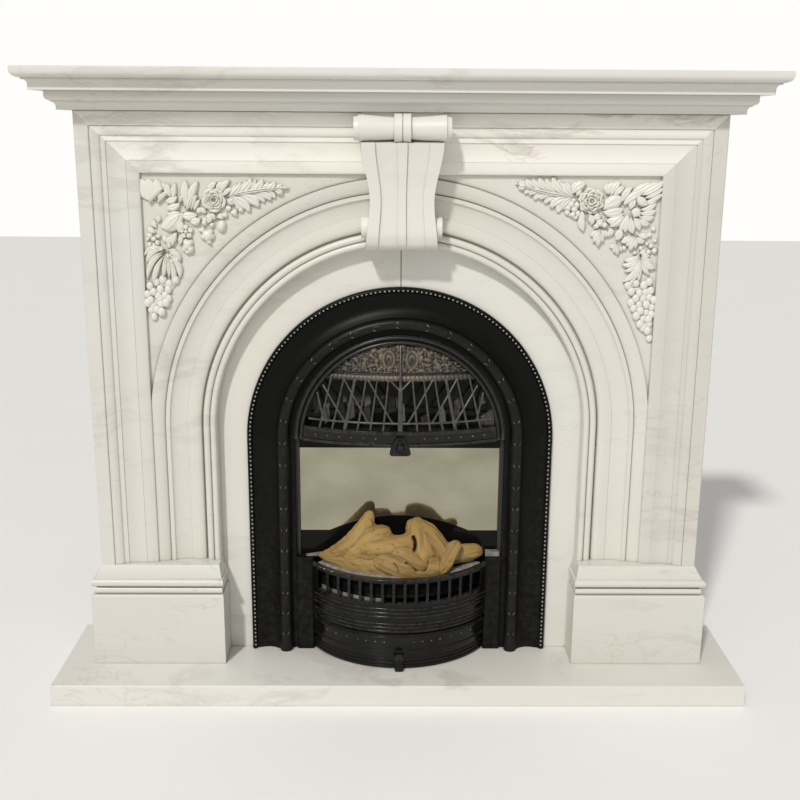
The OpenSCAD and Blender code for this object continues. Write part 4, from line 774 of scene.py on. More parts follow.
def husk_row():
    """Row of three-lobed husks that climb both legs and meet at the crown, and the bare V-shaped
    tips between them."""
    husks, tips = [], []
    for x, z, way in arch_stations(ROLL_R, HUSK_PITCH, HUSK_FOOT):
        climb = way if x < 0 else way + math.pi
        along = np.array([math.cos(climb), math.sin(climb)])
        aside = np.array([-along[1], along[0]])
        here = np.array([x, z])
        husks.append(leaf(here - 13 * along, here + 14 * along, 8, 1.5, base=-0.5, along=14, across=4))
        for s in (-1, 1):
            husks.append(leaf(here - 9 * along, here + 7 * along + s * 6 * aside, 6, 1.2, -0.16 * s, -0.5,
                              along=10, across=3))
            near = here - 9 * along + s * 3.4 * aside
            far = here - 4 * along + s * 6.2 * aside
            middle = 0.5 * (near + far) + 0.4 * s * aside
            tips.append(strand([(*near, -0.4), (*middle, 0.3), (*far, -0.2)], [0.5, 0.9, 0.6]))
    return husks, tips


iron_black, iron_arch = (make_casting(name, IRON_BLACK, IRON_WORN, 0.3, (0.32, 0.42), shine=0.11)
                         for name in ("iron_black", "iron_arch"))
paint_roll_sheen(iron_arch)
dress(iron_arch, "cast_arch")
dress(iron_black, "left_jamb_plate", "right_jamb_plate")
iron_bead = make_casting("iron_bead", (0.26, 0.25, 0.23), (0.52, 0.50, 0.46), 0.8, (0.24, 0.36), 0.0003, 0.5)
# The light husk tips are painted glints; the rivets take the same light scuffed finish.
iron_scuffed_and_glint = make_casting("iron_scuffed_and_glint", (0.05, 0.048, 0.044), (0.30, 0.29, 0.26), 0.9, (0.28, 0.40),
                            0.0003, 0.5)
pearls = [dome((x, z), (1.75, 1.75), 2.0, around=10, rings=4)
          for x, z, _ in arch_stations(PEARL_R, PEARL_PITCH, PEARL_FOOT)]
add_piece("rim_pearls", pearls, on_wall(RIM_DEPTH), iron_bead)
husks, husk_tips = husk_row()
add_piece("column_husks", husks, on_roll, iron_arch)
add_piece("husk_tips", husk_tips, on_roll, iron_scuffed_and_glint)


# Hood: a pierced iron dome let into the head of the arch. Its thin bars are rounded in front, the
# relief behind them carries leafy whorls about two ovals and has a bronze heat colour, with painted
# light in its middle, painted shade at its sides and in its hollows and painted highlights on its
# crests, and a beaded rail with small rivets and a shield closes its foot.
DOME_R, DOME_CENTRE, HOOD_OPEN = 445.25, -287.25, 193.6
GRILLE_OUT, RELIEF_OUT, RAIL_OUT = 0.0, -12.0, 2.0
SHIELD_DEPTH = 172.0
STILE_FOOT, LOW_RAIL, BAR_HEAD = 27, 45, 129
# Near black painted shade for the hollows of the hood's relief.
HOLLOW_PAINTED_SHADE = (0.008, 0.0076, 0.0068)
# A whorl of leaflets is given by its middle, its radius and the way it curls.
CURLS = (
    (47, 172, 16, 1), (50, 146, 14, -1), (77, 160, 15, 1), (98, 146, 14, -1), (121, 143, 12, 1),
    (138, 131, 10, -1), (68, 180, 10, -1), (92, 170, 10, 1), (0, 186, 9, 1), (0, 146, 11, -1),
    (28, 144, 9, 1), (112, 160, 8, 1), (34, 187, 9, -1), (74, 140, 11, 1), (118, 130, 9, 1),
    (0, 166, 9, 1))
OVAL_X, OVAL_Z, OVAL_HALF_X, OVAL_HALF_Z = 22.5, 164, 10.5, 15.0
RELIEF_TOP = 7.0
SCALLOP_PITCH, SCALLOP_Z, SUNK_LINE_Z = 8.6, 129.0, 137.0
RIVETS_X = (48, 72, 96, 120, 144, 168)


def on_dome(out):
    """Place for a relief whose ground is the dome, offset outwards. z counts from the springing
    line, and h is measured along the dome's own normal."""
    def place(p):
        ground = DOME_CENTRE + np.sqrt((DOME_R + out) ** 2 - p[:, 0] ** 2 - p[:, 1] ** 2)
        normal = np.stack([p[:, 0], -(ground - DOME_CENTRE), p[:, 1]], -1) / (DOME_R + out)
        return (np.stack([p[:, 0], -ground, p[:, 1] + SPRING_Z], -1) + normal * p[:, 2:3]) * MM
    return place


def tracery_bars():
    """Bars of the grille as (start, end, width at start, width at end): leaning uprights, crossing
    bars, the centre stile with its two arms, and a low rail."""
    bars = [((0, STILE_FOOT), (0, 112), 10.5, 9.0), ((0, 110), (0, HOOD_OPEN - 0.6), 6.2, 4.6)]
    for s in (-1, 1):
        for i in range(6):
            x, lean = 34 + 25.4 * i, 12 + 4 * min(i, 4)
            width = 7.6 if i == 3 else 4.6
            bars.append(((s * x, STILE_FOOT + 1), (s * (x - 0.85 * lean), BAR_HEAD), width, 0.8 * width))
        for i, drop in enumerate((0, 0, 4, 20)):
            x = 64 + 48 * i
            head = (s * min(x, 166), BAR_HEAD - 1.4 * drop)
            bars.append((head, (s * (x - 50 - 0.3 * drop), LOW_RAIL - 1), 3.8, 4.4))
        bars.append(((s * 21, BAR_HEAD), (0, 108), 3.6, 4.4))
        bars.append(((s * 4, LOW_RAIL), (s * 190, LOW_RAIL), 4.4, 4.4))
    return bars


def bar_shape(start, end, width0, width1):
    """Rounded bar on the dome: an oval section 5 mm deep, run straight between its ends and cut
    where it would leave the rim."""
    start, end = np.array(start, float), np.array(end, float)
    t = np.linspace(0, 1, 25)
    width = width0 + (width1 - width0) * t
    line = start + (end - start) * t[:, None]
    keep = np.hypot(line[:, 0], line[:, 1]) < HOOD_OPEN - 0.5
    line, width = line[keep], width[keep]
    way = (end - start) / np.linalg.norm(end - start)
    aside = np.array([-way[1], way[0]])
    theta = np.linspace(0, 2 * np.pi, 12, endpoint=False)
    across = 0.5 * width[:, None] * np.cos(theta)
    out = (0.22 * width[:, None] + 1.2) * np.sin(theta) - 2.4
    flat = line[:, None] + across[..., None] * aside
    return tube_skin(np.concatenate([flat, out[..., None]], -1))


def foliage_height(x, z):
    """Height of the cast foliage. Each curl is a whorl of curved leaflets: a leaflet is a lens,
    sqrt(1 - (u / long)^2 - (v / wide)^2), with u bent by v. Two framed ovals stand in the middle
    with a hooked heart, and a row of scallops runs along the foot below a sunk line."""
    height = 1.0 + 0.8 * np.sin(0.50 * x + 0.42 * z) * np.sin(0.53 * z - 0.4 * x)
    warp = 1.6 * np.sin(0.21 * z + 0.13 * x) + 0.8 * np.sin(0.37 * x + 1)
    for k, (cx, cz, r, sense) in enumerate(CURLS):
        for s in (-1, 1):
            dx, dz = s * x - cx + warp, z - cz + 1.2 * np.sin(0.25 * x)
            for leaflet in range(5):
                way = 2 * np.pi * leaflet / 5 + 0.8 * k + 0.25 * s
                long = r * (0.56 + 0.10 * np.sin(3.0 * leaflet + k))
                mx, mz = 0.60 * r * np.cos(way), 0.60 * r * np.sin(way)
                lie = way + 0.85 * sense
                u = (dx - mx) * np.cos(lie) + (dz - mz) * np.sin(lie)
                v = (dz - mz) * np.cos(lie) - (dx - mx) * np.sin(lie) + 0.035 * sense * u * u
                lens = np.clip(1 - (u / long) ** 2 - (v / (0.27 * r)) ** 2, 0, 1)
                vein = 1 - 0.28 * np.exp(-(v / 0.55) ** 2)
                tall = 3.4 + 3.2 * np.sin(2.0 * leaflet + 1.7 * k) ** 2
                height = np.maximum(height, tall * np.sqrt(lens) * vein)
            heart = np.clip(1 - (dx / (0.2 * r)) ** 2 - (dz / (0.2 * r)) ** 2, 0, 1)
            height = np.maximum(height, 5.4 * np.sqrt(heart))
    dx, dz = (np.abs(x) - OVAL_X) / OVAL_HALF_X, (z - OVAL_Z) / OVAL_HALF_Z
    oval, angle = np.hypot(dx, dz), np.arctan2(dz, dx)
    ring = RELIEF_TOP * np.exp(-((oval - 1.0) / 0.26) ** 2) * (0.66 + 0.34 * np.cos(2 * angle))
    heart = 5.2 * np.exp(-((oval - 0.42) / 0.20) ** 2) * np.clip(0.7 + 0.9 * np.cos(angle - 1.9), 0, 1)
    height = np.where(oval < 0.92, 0.5 + heart, height)
    height = np.maximum(height, ring)
    scallop = np.abs(np.cos(np.pi * x / SCALLOP_PITCH))
    row = np.clip(1 - ((z - SCALLOP_Z) / 6.4) ** 2, 0, 1)
    sunk = np.clip(1 - ((z - SUNK_LINE_Z) / 2.2) ** 2, 0, 1)
    height = np.where(row > 0.02, 0.2 * height, height * (1 - 0.9 * sunk))
    return np.maximum(height, 3.6 * np.sqrt(row) * (0.70 + 0.30 * scallop ** 0.6))


def relief_panel():
    """Cast panel at the top of the hood, a grid between a scalloped foot and the rim."""
    x = np.linspace(-152, 152, 381)
    foot = 125.5 - 3.2 * np.abs(np.cos(np.pi * x / SCALLOP_PITCH))
    top = np.sqrt(HOOD_OPEN ** 2 - x ** 2) - 0.3
    keep = top > foot + 1
    x, foot, top = x[keep], foot[keep], top[keep]
    z = foot[None] + (top - foot)[None] * np.linspace(0, 1, 90)[:, None]
    x = np.broadcast_to(x, z.shape)
    return closed_sheet(np.stack([x, z, foliage_height(x, z)], -1))


def boss_leaves():
    """Small leaf and a raised triangle on the shield below the centre stile."""
    made = [leaf((0, 7), (0, 19), 6, 2.4, base=0.6, along=12, across=4)]
    for s in (-1, 1):
        made.append(strand([(s * 14, -13, 0.8), (s * 9, 4, 1.2), (s * 3, 17, 0.8)], [1.3, 1.5, 1.1]))
    made.append(strand([(-14, -13, 0.8), (0, -12, 1.2), (14, -13, 0.8)], [1.3, 1.5, 1.3]))
    return made


def make_bronzed():
    """Bronze-brown relief with painted light and shade: brown crests with painted highlights in the
    middle of the hood, where painted light falls, greyer and darker painted shade at its sides, and
    near black painted shade in its hollows, which the attribute height finds."""
    material, tree, at = new_material("bronzed_casting")
    skin = add_node(tree, "ShaderNodeGroup", {0: at}, node_tree=CREST_WEAR_AND_HIGHLIGHT).outputs["Skin"]
    # Painted light and shade: brown where light falls in the middle, greyer and darker towards the sides.
    aside = ramp(tree, maths(tree, "ABSOLUTE", axes_of(tree, at)["X"]), 0.03, 0.13)
    field = mix_colours(tree, aside, (0.115, 0.092, 0.064), (0.040, 0.038, 0.034))
    crest = mix_colours(tree, aside, (0.25, 0.21, 0.155), (0.14, 0.135, 0.125))
    height = add_node(tree, "ShaderNodeAttribute", {}, attribute_name="height").outputs["Fac"]
    # Painted highlight on the high crests of the relief.
    painted_sheen = maths(tree, "MULTIPLY", ramp(tree, height, 0.42, 0.95),
                   ramp(tree, noise(tree, at, 60.0, 3.0), 0.25, 0.65, 0.45, 1.0))
    # Painted shade: near black in the low hollows.
    colour = mix_colours(tree, ramp(tree, height, 0.08, 0.34), HOLLOW_PAINTED_SHADE, field)
    coat(tree, {"Base Color": mix_colours(tree, painted_sheen, colour, crest),
                "Roughness": ramp(tree, skin, 0.3, 0.7, 0.38, 0.55),
                "Normal": bumped(tree, skin, 0.0002, 0.5), "Metallic": 0.2})
    return material


# Painted sheen: the rim is a lighter copy of the black iron, with lighter crests.
iron_rim = make_casting("iron_rim", (0.011, 0.011, 0.0102), (0.15, 0.145, 0.13), 0.5, (0.24, 0.32), 0.0006,
                        0.40, 0.0, 0.00008)
iron_hood = make_casting("iron_hood", (0.004, 0.004, 0.0037), (0.10, 0.096, 0.088), 0.25, (0.17, 0.24),
                         0.0006, 0.32, 0.0, 0.00006)
# Painted light: the grille bars are a lighter copy of the black iron.
iron_grille = make_casting("iron_grille", (0.032, 0.031, 0.029), (0.22, 0.21, 0.19), 0.6, (0.24, 0.34),
                           0.0004, 0.5, 0.0, 0.0001)
dress(iron_rim, "hood_rim")
dress(iron_hood, "hood_rail", "hood_boss")
add_piece("boss_leaves", boss_leaves(), on_wall(SHIELD_DEPTH, SPRING_Z), iron_hood)
add_piece("hood_grille", [bar_shape(*bar) for bar in tracery_bars()], on_dome(GRILLE_OUT), iron_grille,
          node="hood_tracery")
panel = relief_panel()
foliage = add_piece("hood_foliage", [panel], on_dome(RELIEF_OUT), make_bronzed(),
                    node="hood_relief")
height = foliage.data.attributes.new("height", "FLOAT", "POINT")
height.data.foreach_set("value", np.clip(panel[0][:, 2] / RELIEF_TOP, 0, 1))
rivets = [dome((s * x, 15), (1.7, 1.7), 1.4, around=10, rings=3) for s in (-1, 1) for x in RIVETS_X]
add_piece("hood_rivets", rivets, on_dome(RAIL_OUT), iron_scuffed_and_glint)
# The rail beads take the lighter grille iron as painted highlight lines.
beads = [strand([(x, z, 1.4) for x in np.linspace(-reach, reach, 60)], [1.6] * 60)
         for z, reach in ((24.5, 186), (3.6, 188))]
add_piece("rail_beads", beads, on_dome(RAIL_OUT), iron_grille)


# Fire box and screen: a folded steel box behind the casting, closed in front by a half-silvered
# glass screen in black side strips. Black enamel is fired on the glass behind the hood, where grey
# leaning blocks are painted on it as reflections, and along the foot, where its edge rises as a flat
# arch.
HEAD_ENAMEL, FOOT_ENAMEL, ENAMEL_EDGE = 0.479, 0.334, 0.0006
# Heights of the band of painted reflections on the enamel behind the hood.
REFLECTION_FROM, REFLECTION_TO = (0.526, 0.532), (0.590, 0.576)
SILVER, DUSTY_SILVER = (0.325, 0.312, 0.235), (0.415, 0.396, 0.30)
ENAMEL_BLACK, PAINTED_REFLECTION_GREY = (0.005, 0.005, 0.005), (0.13, 0.128, 0.118)


def make_screen():
    """Half-silvered screen: nearly a mirror with a film of dust. Its enamel is where z + 1.6 x^2
    is low, or z is high, and painted reflections lie on it in leaning square cells."""
    material, tree, at = new_material("screen_glass")
    x, _, z = axes_of(tree, at)
    smear = noise(tree, placed(tree, at, tilt=-8, stretch=(1, 1, 1.5)), 9.0, 4.0, 0.5)
    dust = ramp(tree, smear, 0.36, 0.66)
    arch = maths(tree, "MULTIPLY", maths(tree, "MULTIPLY", x, x), 1.6)
    rise = maths(tree, "ADD", z, maths(tree, "MINIMUM", arch, 0.033))
    foot = ramp(tree, rise, FOOT_ENAMEL, FOOT_ENAMEL + ENAMEL_EDGE, 1.0, 0.0)
    enamel = maths(tree, "MAXIMUM", foot, ramp(tree, z, HEAD_ENAMEL, HEAD_ENAMEL + ENAMEL_EDGE))
    # Painted reflection: grey leaning blocks on the enamel.
    leaning = placed(tree, at, tilt=12, stretch=(1.0, 1.0, 0.35))
    cells = add_node(tree, "ShaderNodeTexVoronoi", {"Vector": leaning}, distance="CHEBYCHEV")
    cells.inputs["Scale"].default_value = 62.0
    cells.inputs["Randomness"].default_value = 0.75
    tint = add_node(tree, "ShaderNodeSeparateColor", {0: cells.outputs["Color"]}).outputs[0]
    block = maths(tree, "MULTIPLY", ramp(tree, tint, 0.35, 1.0),
                  ramp(tree, cells.outputs["Distance"], 0.44, 0.36))
    reflection_band = maths(tree, "MULTIPLY", ramp(tree, z, *REFLECTION_FROM), ramp(tree, z, *REFLECTION_TO))
    black = mix_colours(tree, maths(tree, "MULTIPLY", block, reflection_band), ENAMEL_BLACK, PAINTED_REFLECTION_GREY)
    coat(tree, {"Base Color": mix_colours(tree, enamel, mix_colours(tree, dust, SILVER, DUSTY_SILVER), black),
                "Roughness": ramp(tree, dust, 0.0, 1.0, 0.04, 0.16),
                "Metallic": ramp(tree, enamel, 0.0, 1.0, 0.92, 0.0), "Specular IOR Level": 0.12})
    return material


dress(make_screen(), "flame_screen")
dress(make_sheet_metal("dark_steel", (0.018, 0.018, 0.019), 0.5), "screen_trims", "fire_box", "switch_panel")


# Flame effect, fan heater and switches, out of sight: a bright rod turned by a geared motor in
# front of a lamp strip, a sheet-metal fan wheel on its own motor, and two rockers. Bearings, lamp
# strip, rockers and the cable's gland are moulded plastic.
def make_plastic(name, colour, rough):
    """Moulded plastic with a fine spark texture."""
    material, tree, at = new_material(name)
    dark = tuple(0.85 * c for c in colour)
    coat(tree, {"Base Color": mix_colours(tree, noise(tree, at, 60.0), colour, dark), "Roughness": rough,
                "Normal": bumped(tree, noise(tree, at, 1500.0, 2.0), 0.00005, 0.5, 0.0004)})
    return material


dress(make_sheet_metal("bright_steel", (0.75, 0.75, 0.74), 0.2, 1.0), "flicker_rod")
dress(make_sheet_metal("grey_steel", (0.52, 0.51, 0.48), 0.46, 0.35), "blower_wheel")
dress(make_sheet_metal("motor_case", (0.2, 0.2, 0.21), 0.4, 0.8), "rod_motor", "blower_motor")
dress(make_plastic("white_plastic", (0.78, 0.78, 0.75), 0.45), "lamp_strip", "rod_bearing", "blower_bearing")
dress(make_plastic("black_plastic", (0.02, 0.02, 0.02), 0.3), "flame_switch", "heat_switch", "cable_gland")


# Driftwood: one root and one loose side log, moulded in ceramic fibre and stained, which lie in a
# black tray. Their limbs are fused by a fine voxel skin, then grooved along their fibres. A limb's
# rows are [x, distance in front of the screen, height above the tray's floor, radius].
SCREEN_DEPTH, TRAY_FLOOR = 86.0, 204.0
SWELL, VOXEL = 1.3, 2.1
WOOD_UP = (0, 1, 0)
ROOT_LIMBS = (
    [(-166, 18, 50, 5), (-140, 33, 49, 11), (-100, 51, 48, 19), (-50, 67, 47, 26), (0, 75, 46, 29),
     (50, 74, 44, 27), (84, 68, 44, 20)],
    [(-162, 24, 52, 5), (-134, 34, 62, 13), (-106, 42, 78, 19), (-84, 42, 98, 22), (-69, 36, 122, 17),
     (-62, 31, 138, 13), (-59, 29, 145, 10)],
    [(-92, 46, 68, 25), (-58, 48, 96, 27), (-36, 50, 109, 19), (-22, 52, 117, 10)],
    [(-60, 62, 80, 22), (-20, 66, 86, 24), (6, 66, 92, 21), (22, 62, 94, 20)],
    [(44, 66, 66, 29), (38, 56, 98, 25), (36, 47, 122, 19), (36, 42, 134, 13)],
    [(22, 50, 118, 12), (24, 45, 134, 8)],
    [(44, 47, 126, 15), (60, 52, 111, 19), (78, 58, 88, 20), (92, 64, 66, 18), (92, 74, 50, 13)],
    [(84, 86, 42, 10), (96, 80, 60, 13), (106, 70, 80, 14), (116, 62, 92, 12)],
    [(-14, 76, 86, 13), (10, 84, 78, 16), (32, 90, 64, 13), (47, 93, 56, 9)],
    [(-30, 82, 60, 22), (10, 86, 46, 22), (44, 82, 40, 18)],
    [(-20, 86, 14, 12), (-60, 82, 22, 15), (-100, 66, 24, 15), (-138, 46, 26, 9)],
    [(30, 84, 16, 14), (70, 76, 24, 16), (112, 56, 22, 12)])
SIDE_LIMBS = (
    [(100, 46, 54, 15), (126, 37, 60, 19), (150, 27, 61, 17), (166, 18, 59, 12)],)
# A crack is given by its two ends, width, depth and how dark the painted shade in it is.
CRACKS = (
    ((28, 62, 110), (30, 72, 88), 3.0, 14.0, 1.0), ((-56, 92, 41), (-96, 80, 50), 1.6, 2.0, 0.35),
    ((-10, 104, 66), (-2, 108, 48), 1.6, 3.0, 0.6), ((12, 110, 66), (34, 106, 50), 1.5, 4.0, 0.8),
    ((34, 100, 50), (50, 98, 48), 1.5, 4.0, 0.8), ((-14, 92, 100), (-4, 98, 84), 1.7, 2.0, 0.35),
    ((88, 84, 46), (102, 76, 66), 1.6, 2.5, 0.5), ((-70, 78, 80), (-42, 84, 90), 1.5, 2.0, 0.4),
    ((-59, 40, 138), (-52, 50, 118), 1.6, 2.5, 0.5), ((57, 92, 66), (52, 98, 50), 1.6, 2.5, 0.9))


def wood_line(rows, steps=8):
    """Centre line and radii of a limb in the part's frame, in millimetres."""
    rows = smooth_line(np.array(rows, float), steps)
    return np.stack([rows[:, 0], -SCREEN_DEPTH - rows[:, 1], TRAY_FLOOR + rows[:, 2]], -1), rows[:, 3]


def wood_tube(rows):
    """Limb as a closed tube with a smaller circle beyond each end."""
    line, radii = wood_line(rows)
    radii = radii + SWELL
    run, side, over = frames(line, WOOD_UP)
    first, last = line[0] - run[0] * radii[0] * 0.6, line[-1] + run[-1] * radii[-1] * 0.6
    line = np.vstack([first, line, last])
    radii = np.concatenate([[radii[0] * 0.5], radii, [radii[-1] * 0.5]])
    twice = [0, *range(len(side)), -1]
    return tube(line, radii, side[twice], over[twice], 20)


def to_metres(points):
    """Place for shapes that are already in the part's frame, in millimetres."""
    return points * MM


def fused(name, shapes):
    """Points and faces of the shapes after one voxel skin is drawn over them and smoothed."""
    holder = mesh_of(name, shapes, to_metres)
    skin = holder.modifiers.new("skin", "REMESH")
    skin.mode, skin.voxel_size = "VOXEL", VOXEL * MM
    smooth = holder.modifiers.new("smooth", "SMOOTH")
    smooth.factor, smooth.iterations = 0.5, 30
    done = holder.evaluated_get(bpy.context.evaluated_depsgraph_get()).to_mesh()
    points = np.empty(3 * len(done.vertices))
    done.vertices.foreach_get("co", points)
    faces = [tuple(p.vertices) for p in done.polygons]
    bpy.data.objects.remove(holder)
    return points.reshape(-1, 3) / MM, faces


def grain_of(points, limbs):
    """For each point: way along its nearest limb and direction round it (metres, at 20 mm), and
    the unit direction out of the limb."""
    best = np.full(len(points), 1e9)
    grain, outward = np.zeros((len(points), 3)), np.zeros((len(points), 3))
    for number, rows in enumerate(limbs):
        line, radii = wood_line(rows, 12)
        run, side, over = frames(line, WOOD_UP)
        way = np.concatenate([[0], np.cumsum(np.linalg.norm(np.diff(line, axis=0), axis=1))])
        gap = np.linalg.norm(points[:, None] - line[None], axis=2) - radii[None]
        nearest = gap.argmin(axis=1)
        least = gap[np.arange(len(points)), nearest]
        out = points - line[nearest]
        out /= np.maximum(np.linalg.norm(out, axis=1), 1e-6)[:, None]
        across, up = (out * side[nearest]).sum(1), (out * over[nearest]).sum(1)
        closer = least < best
        best[closer] = least[closer]
        mine = np.stack([way[nearest] + 170.0 * number, 20 * across, 20 * up], -1) * MM
        grain[closer], outward[closer] = mine[closer], out[closer]
    return grain, outward


def crack_depth(points):
    """How far each point sinks into the cracks, and how much painted shade darkens it: a bell over
    the distance to each crack's line, seen from the front."""
    sunk, crack_shade = np.zeros(len(points)), np.zeros(len(points))
    for start, end, width, depth, black in CRACKS:
        a = np.array([start[0], TRAY_FLOOR + start[2]])
        b = np.array([end[0], TRAY_FLOOR + end[2]])
        flat = points[:, [0, 2]]
        t = np.clip(((flat - a) @ (b - a)) / ((b - a) @ (b - a)), 0, 1)
        bow = 2.5 * np.sin(np.pi * t) * np.array([[1.0, 0.4]]).T
        near = np.linalg.norm(flat - (a + t[:, None] * (b - a) + bow.T), axis=1)
        front = np.clip((-SCREEN_DEPTH - 0.5 * (start[1] + end[1]) + 24 - points[:, 1]) / 12, 0, 1)
        bell = np.exp(-(near / width) ** 2) * front
        sunk = np.maximum(sunk, depth * bell)
        crack_shade = np.maximum(crack_shade, black * np.exp(-(near / (1.5 * width)) ** 2) * front)
    return sunk, crack_shade


def make_driftwood():
    """Stained fibre: ochre with long pale and dark fibres that follow each limb and dark knots, with
    near black painted shade in its hollows. The attribute grain holds the way along and round the
    limb, and the attribute crack_shade paints shade in the cracks."""
    material, tree, at = new_material("driftwood")
    grain = add_node(tree, "ShaderNodeAttribute", {}, attribute_name="grain").outputs["Vector"]
    crack_shade = add_node(tree, "ShaderNodeAttribute", {}, attribute_name="crack_shade").outputs["Fac"]
    fibre = placed(tree, grain, stretch=(5.0, 34.0, 34.0))
    broad = noise(tree, fibre, 1.0, 5.0, 0.6, 0.4)
    hairs = noise(tree, placed(tree, grain, stretch=(16.0, 160.0, 160.0)), 1.0, 4.0, 0.6)
    patch = noise(tree, at, 16.0, 4.0)
    streak = ramp(tree, noise(tree, placed(tree, fibre, shift=(5, 2, 8)), 0.8, 6.0, 0.65), 0.54, 0.68)
    knots = maths(tree, "MULTIPLY", streak, ramp(tree, patch, 0.42, 0.62))
    hollow = tree.nodes.new("ShaderNodeNewGeometry").outputs["Pointiness"]
    # Painted shade: near black where the surface is hollow.
    hollow_shade = maths(tree, "MULTIPLY", ramp(tree, hollow, 0.495, 0.445), 0.75)
    # Painted shade in the cracks.
    crack_shaded = ramp(tree, maths(tree, "ADD", crack_shade, maths(tree, "MULTIPLY", hairs, 0.3)), 0.50, 0.95)
    colour = mix_colours(tree, ramp(tree, broad, 0.34, 0.60), (0.232, 0.136, 0.037), (0.345, 0.221, 0.064))
    for mask, stain in ((ramp(tree, patch, 0.50, 0.72, 0.0, 0.65), (0.375, 0.265, 0.094)),
                        (ramp(tree, hairs, 0.54, 0.68, 0.0, 0.50), (0.11, 0.062, 0.024)),
                        (knots, (0.10, 0.062, 0.030)), (hollow_shade, (0.030, 0.021, 0.013)),
                        (crack_shaded, (0.006, 0.005, 0.005))):
        colour = mix_colours(tree, mask, colour, stain)
    rugged = maths(tree, "ADD", broad, maths(tree, "MULTIPLY", hairs, 0.5))
    coat(tree, {"Base Color": colour, "Normal": bumped(tree, rugged, 0.003, 0.8), "Roughness": 0.72})
    return material


driftwood = make_driftwood()


def add_driftwood(name, limbs, node):
    """Fused limbs, grooved along their fibres by sines of the angle round the limb, with lumps
    that are sines of the place, and cracks pressed in from the front."""
    points, faces = fused(name, [wood_tube(rows) for rows in limbs])
    grain, outward = grain_of(points, limbs)
    angle, way = np.arctan2(grain[:, 2], grain[:, 1]), grain[:, 0] / MM
    grooves = 0.75 * (np.sin(9 * angle + 0.050 * way + 1.3 * np.sin(0.031 * way))
                      + 0.7 * np.sin(15 * angle - 0.042 * way + 2 * np.sin(0.023 * way + 1)))
    x, y, z = points.T
    lumps = (np.sin(0.061 * x + 1.7) * np.sin(0.083 * z + 0.4) * np.sin(0.057 * y)
             + 0.45 * np.sin(0.19 * x + 0.11 * z) * np.sin(0.23 * z - 0.07 * y + 2) - 0.45)
    sunk, crack_shade = crack_depth(points)
    points = points + outward * (0.6 * np.minimum(grooves, 0.5) + 1.5 * lumps - 0.3)[:, None]
    points[:, 1] += sunk
    log = add_piece(name, [(points, faces)], to_metres, driftwood, node=node)
    log.data.attributes.new("grain", "FLOAT_VECTOR", "POINT").data.foreach_set("vector", grain.ravel())
    log.data.attributes.new("crack_shade", "FLOAT", "POINT").data.foreach_set("value", crack_shade)


dress(iron_black, "fuel_tray")
add_driftwood("root_log", ROOT_LIMBS, "driftwood_bed")
add_driftwood("small_log", SIDE_LIMBS, "side_log")


# Bed kerb: a pale moulded kerb of fibre board that follows the bars and fills the edge between them
# and the root. A strip of it shows at the foot of the left-hand slots, and its two ends lie on the
# jamb plates.
BOW_CENTRE = 12.0
KERB_SECTION = np.array([(176, 1), (176, 28), (182, 36), (192, 39), (200, 40), (210.4, 40), (211.6, 38.5),
                         (209.0, 1)])
SILL_SECTION = np.array([(198, 183), (198, 199.4), (207.6, 199.4), (207.6, 183)])
KERB_ENDS = (179, 208, -103, -88.5, 250.3, 260), (-192, -160, -103, -92, 250.3, 256, 5.2)
KERB_FROM, KERB_TO, SILL_FROM, SILL_TO = 218, 322, 219, 261.5
DIP_FROM, DIP_TO, DIP = 266, 301, 9.0
EDGE_BARE, FOOT_BARE = (0.2365, 0.2385), (0.1968, 0.1962)
BOARD_DARK, BOARD_PALE, BOARD_SHADE_BLACK = (0.165, 0.157, 0.135), (0.295, 0.282, 0.247), (0.004, 0.004, 0.004)


def bed_kerb():
    """Crescent on the tray: its top lies just below the rim of the bars, and dips where the root
    leans over it. Its ends stop short of the jambs."""
    turn = np.linspace(KERB_FROM, KERB_TO, 90)[:, None]
    a = np.radians(turn)
    wobble = 1.2 * np.sin(23 * a) + 0.8 * np.sin(51 * a + 1)
    radius, height = KERB_SECTION.T[:, None]
    r = radius + wobble * np.array([1, 1, 1, 0.6, 0.3, 0, 0, 0])
    dip = DIP * np.clip((turn - DIP_FROM) / 16, 0, 1) * np.clip((DIP_TO - turn) / 6, 0, 1)
    z = TRAY_FLOOR + height - dip * np.clip(height / 40, 0, 1) + 0.4 * np.sin(31 * a) * (height > 30)
    return tube_skin(np.stack([r * np.cos(a), BOW_CENTRE + r * np.sin(a), z], -1))


def kerb_sill():
    """Strip of the same board below the tray's edge: a rectangle carried round the bow."""
    a = np.radians(np.linspace(SILL_FROM, SILL_TO, 34))[:, None]
    r, height = SILL_SECTION.T[:, None]
    x, y = r * np.cos(a), BOW_CENTRE + r * np.sin(a)
    return tube_skin(np.stack([x, y, np.broadcast_to(height, x.shape)], -1))


def block(x0, x1, y0, y1, z0, z1, fall=0.0):
    """Closed block between two corners, whose top falls towards x0."""
    points = [(x, y, z) for x, top in ((x0, z1 - fall), (x1, z1)) for y in (y0, y1) for z in (z0, top)]
    faces = [(0, 1, 3, 2), (4, 6, 7, 5), (0, 4, 5, 1), (2, 3, 7, 6), (0, 2, 6, 4), (1, 5, 7, 3)]
    return np.array(points, float), faces


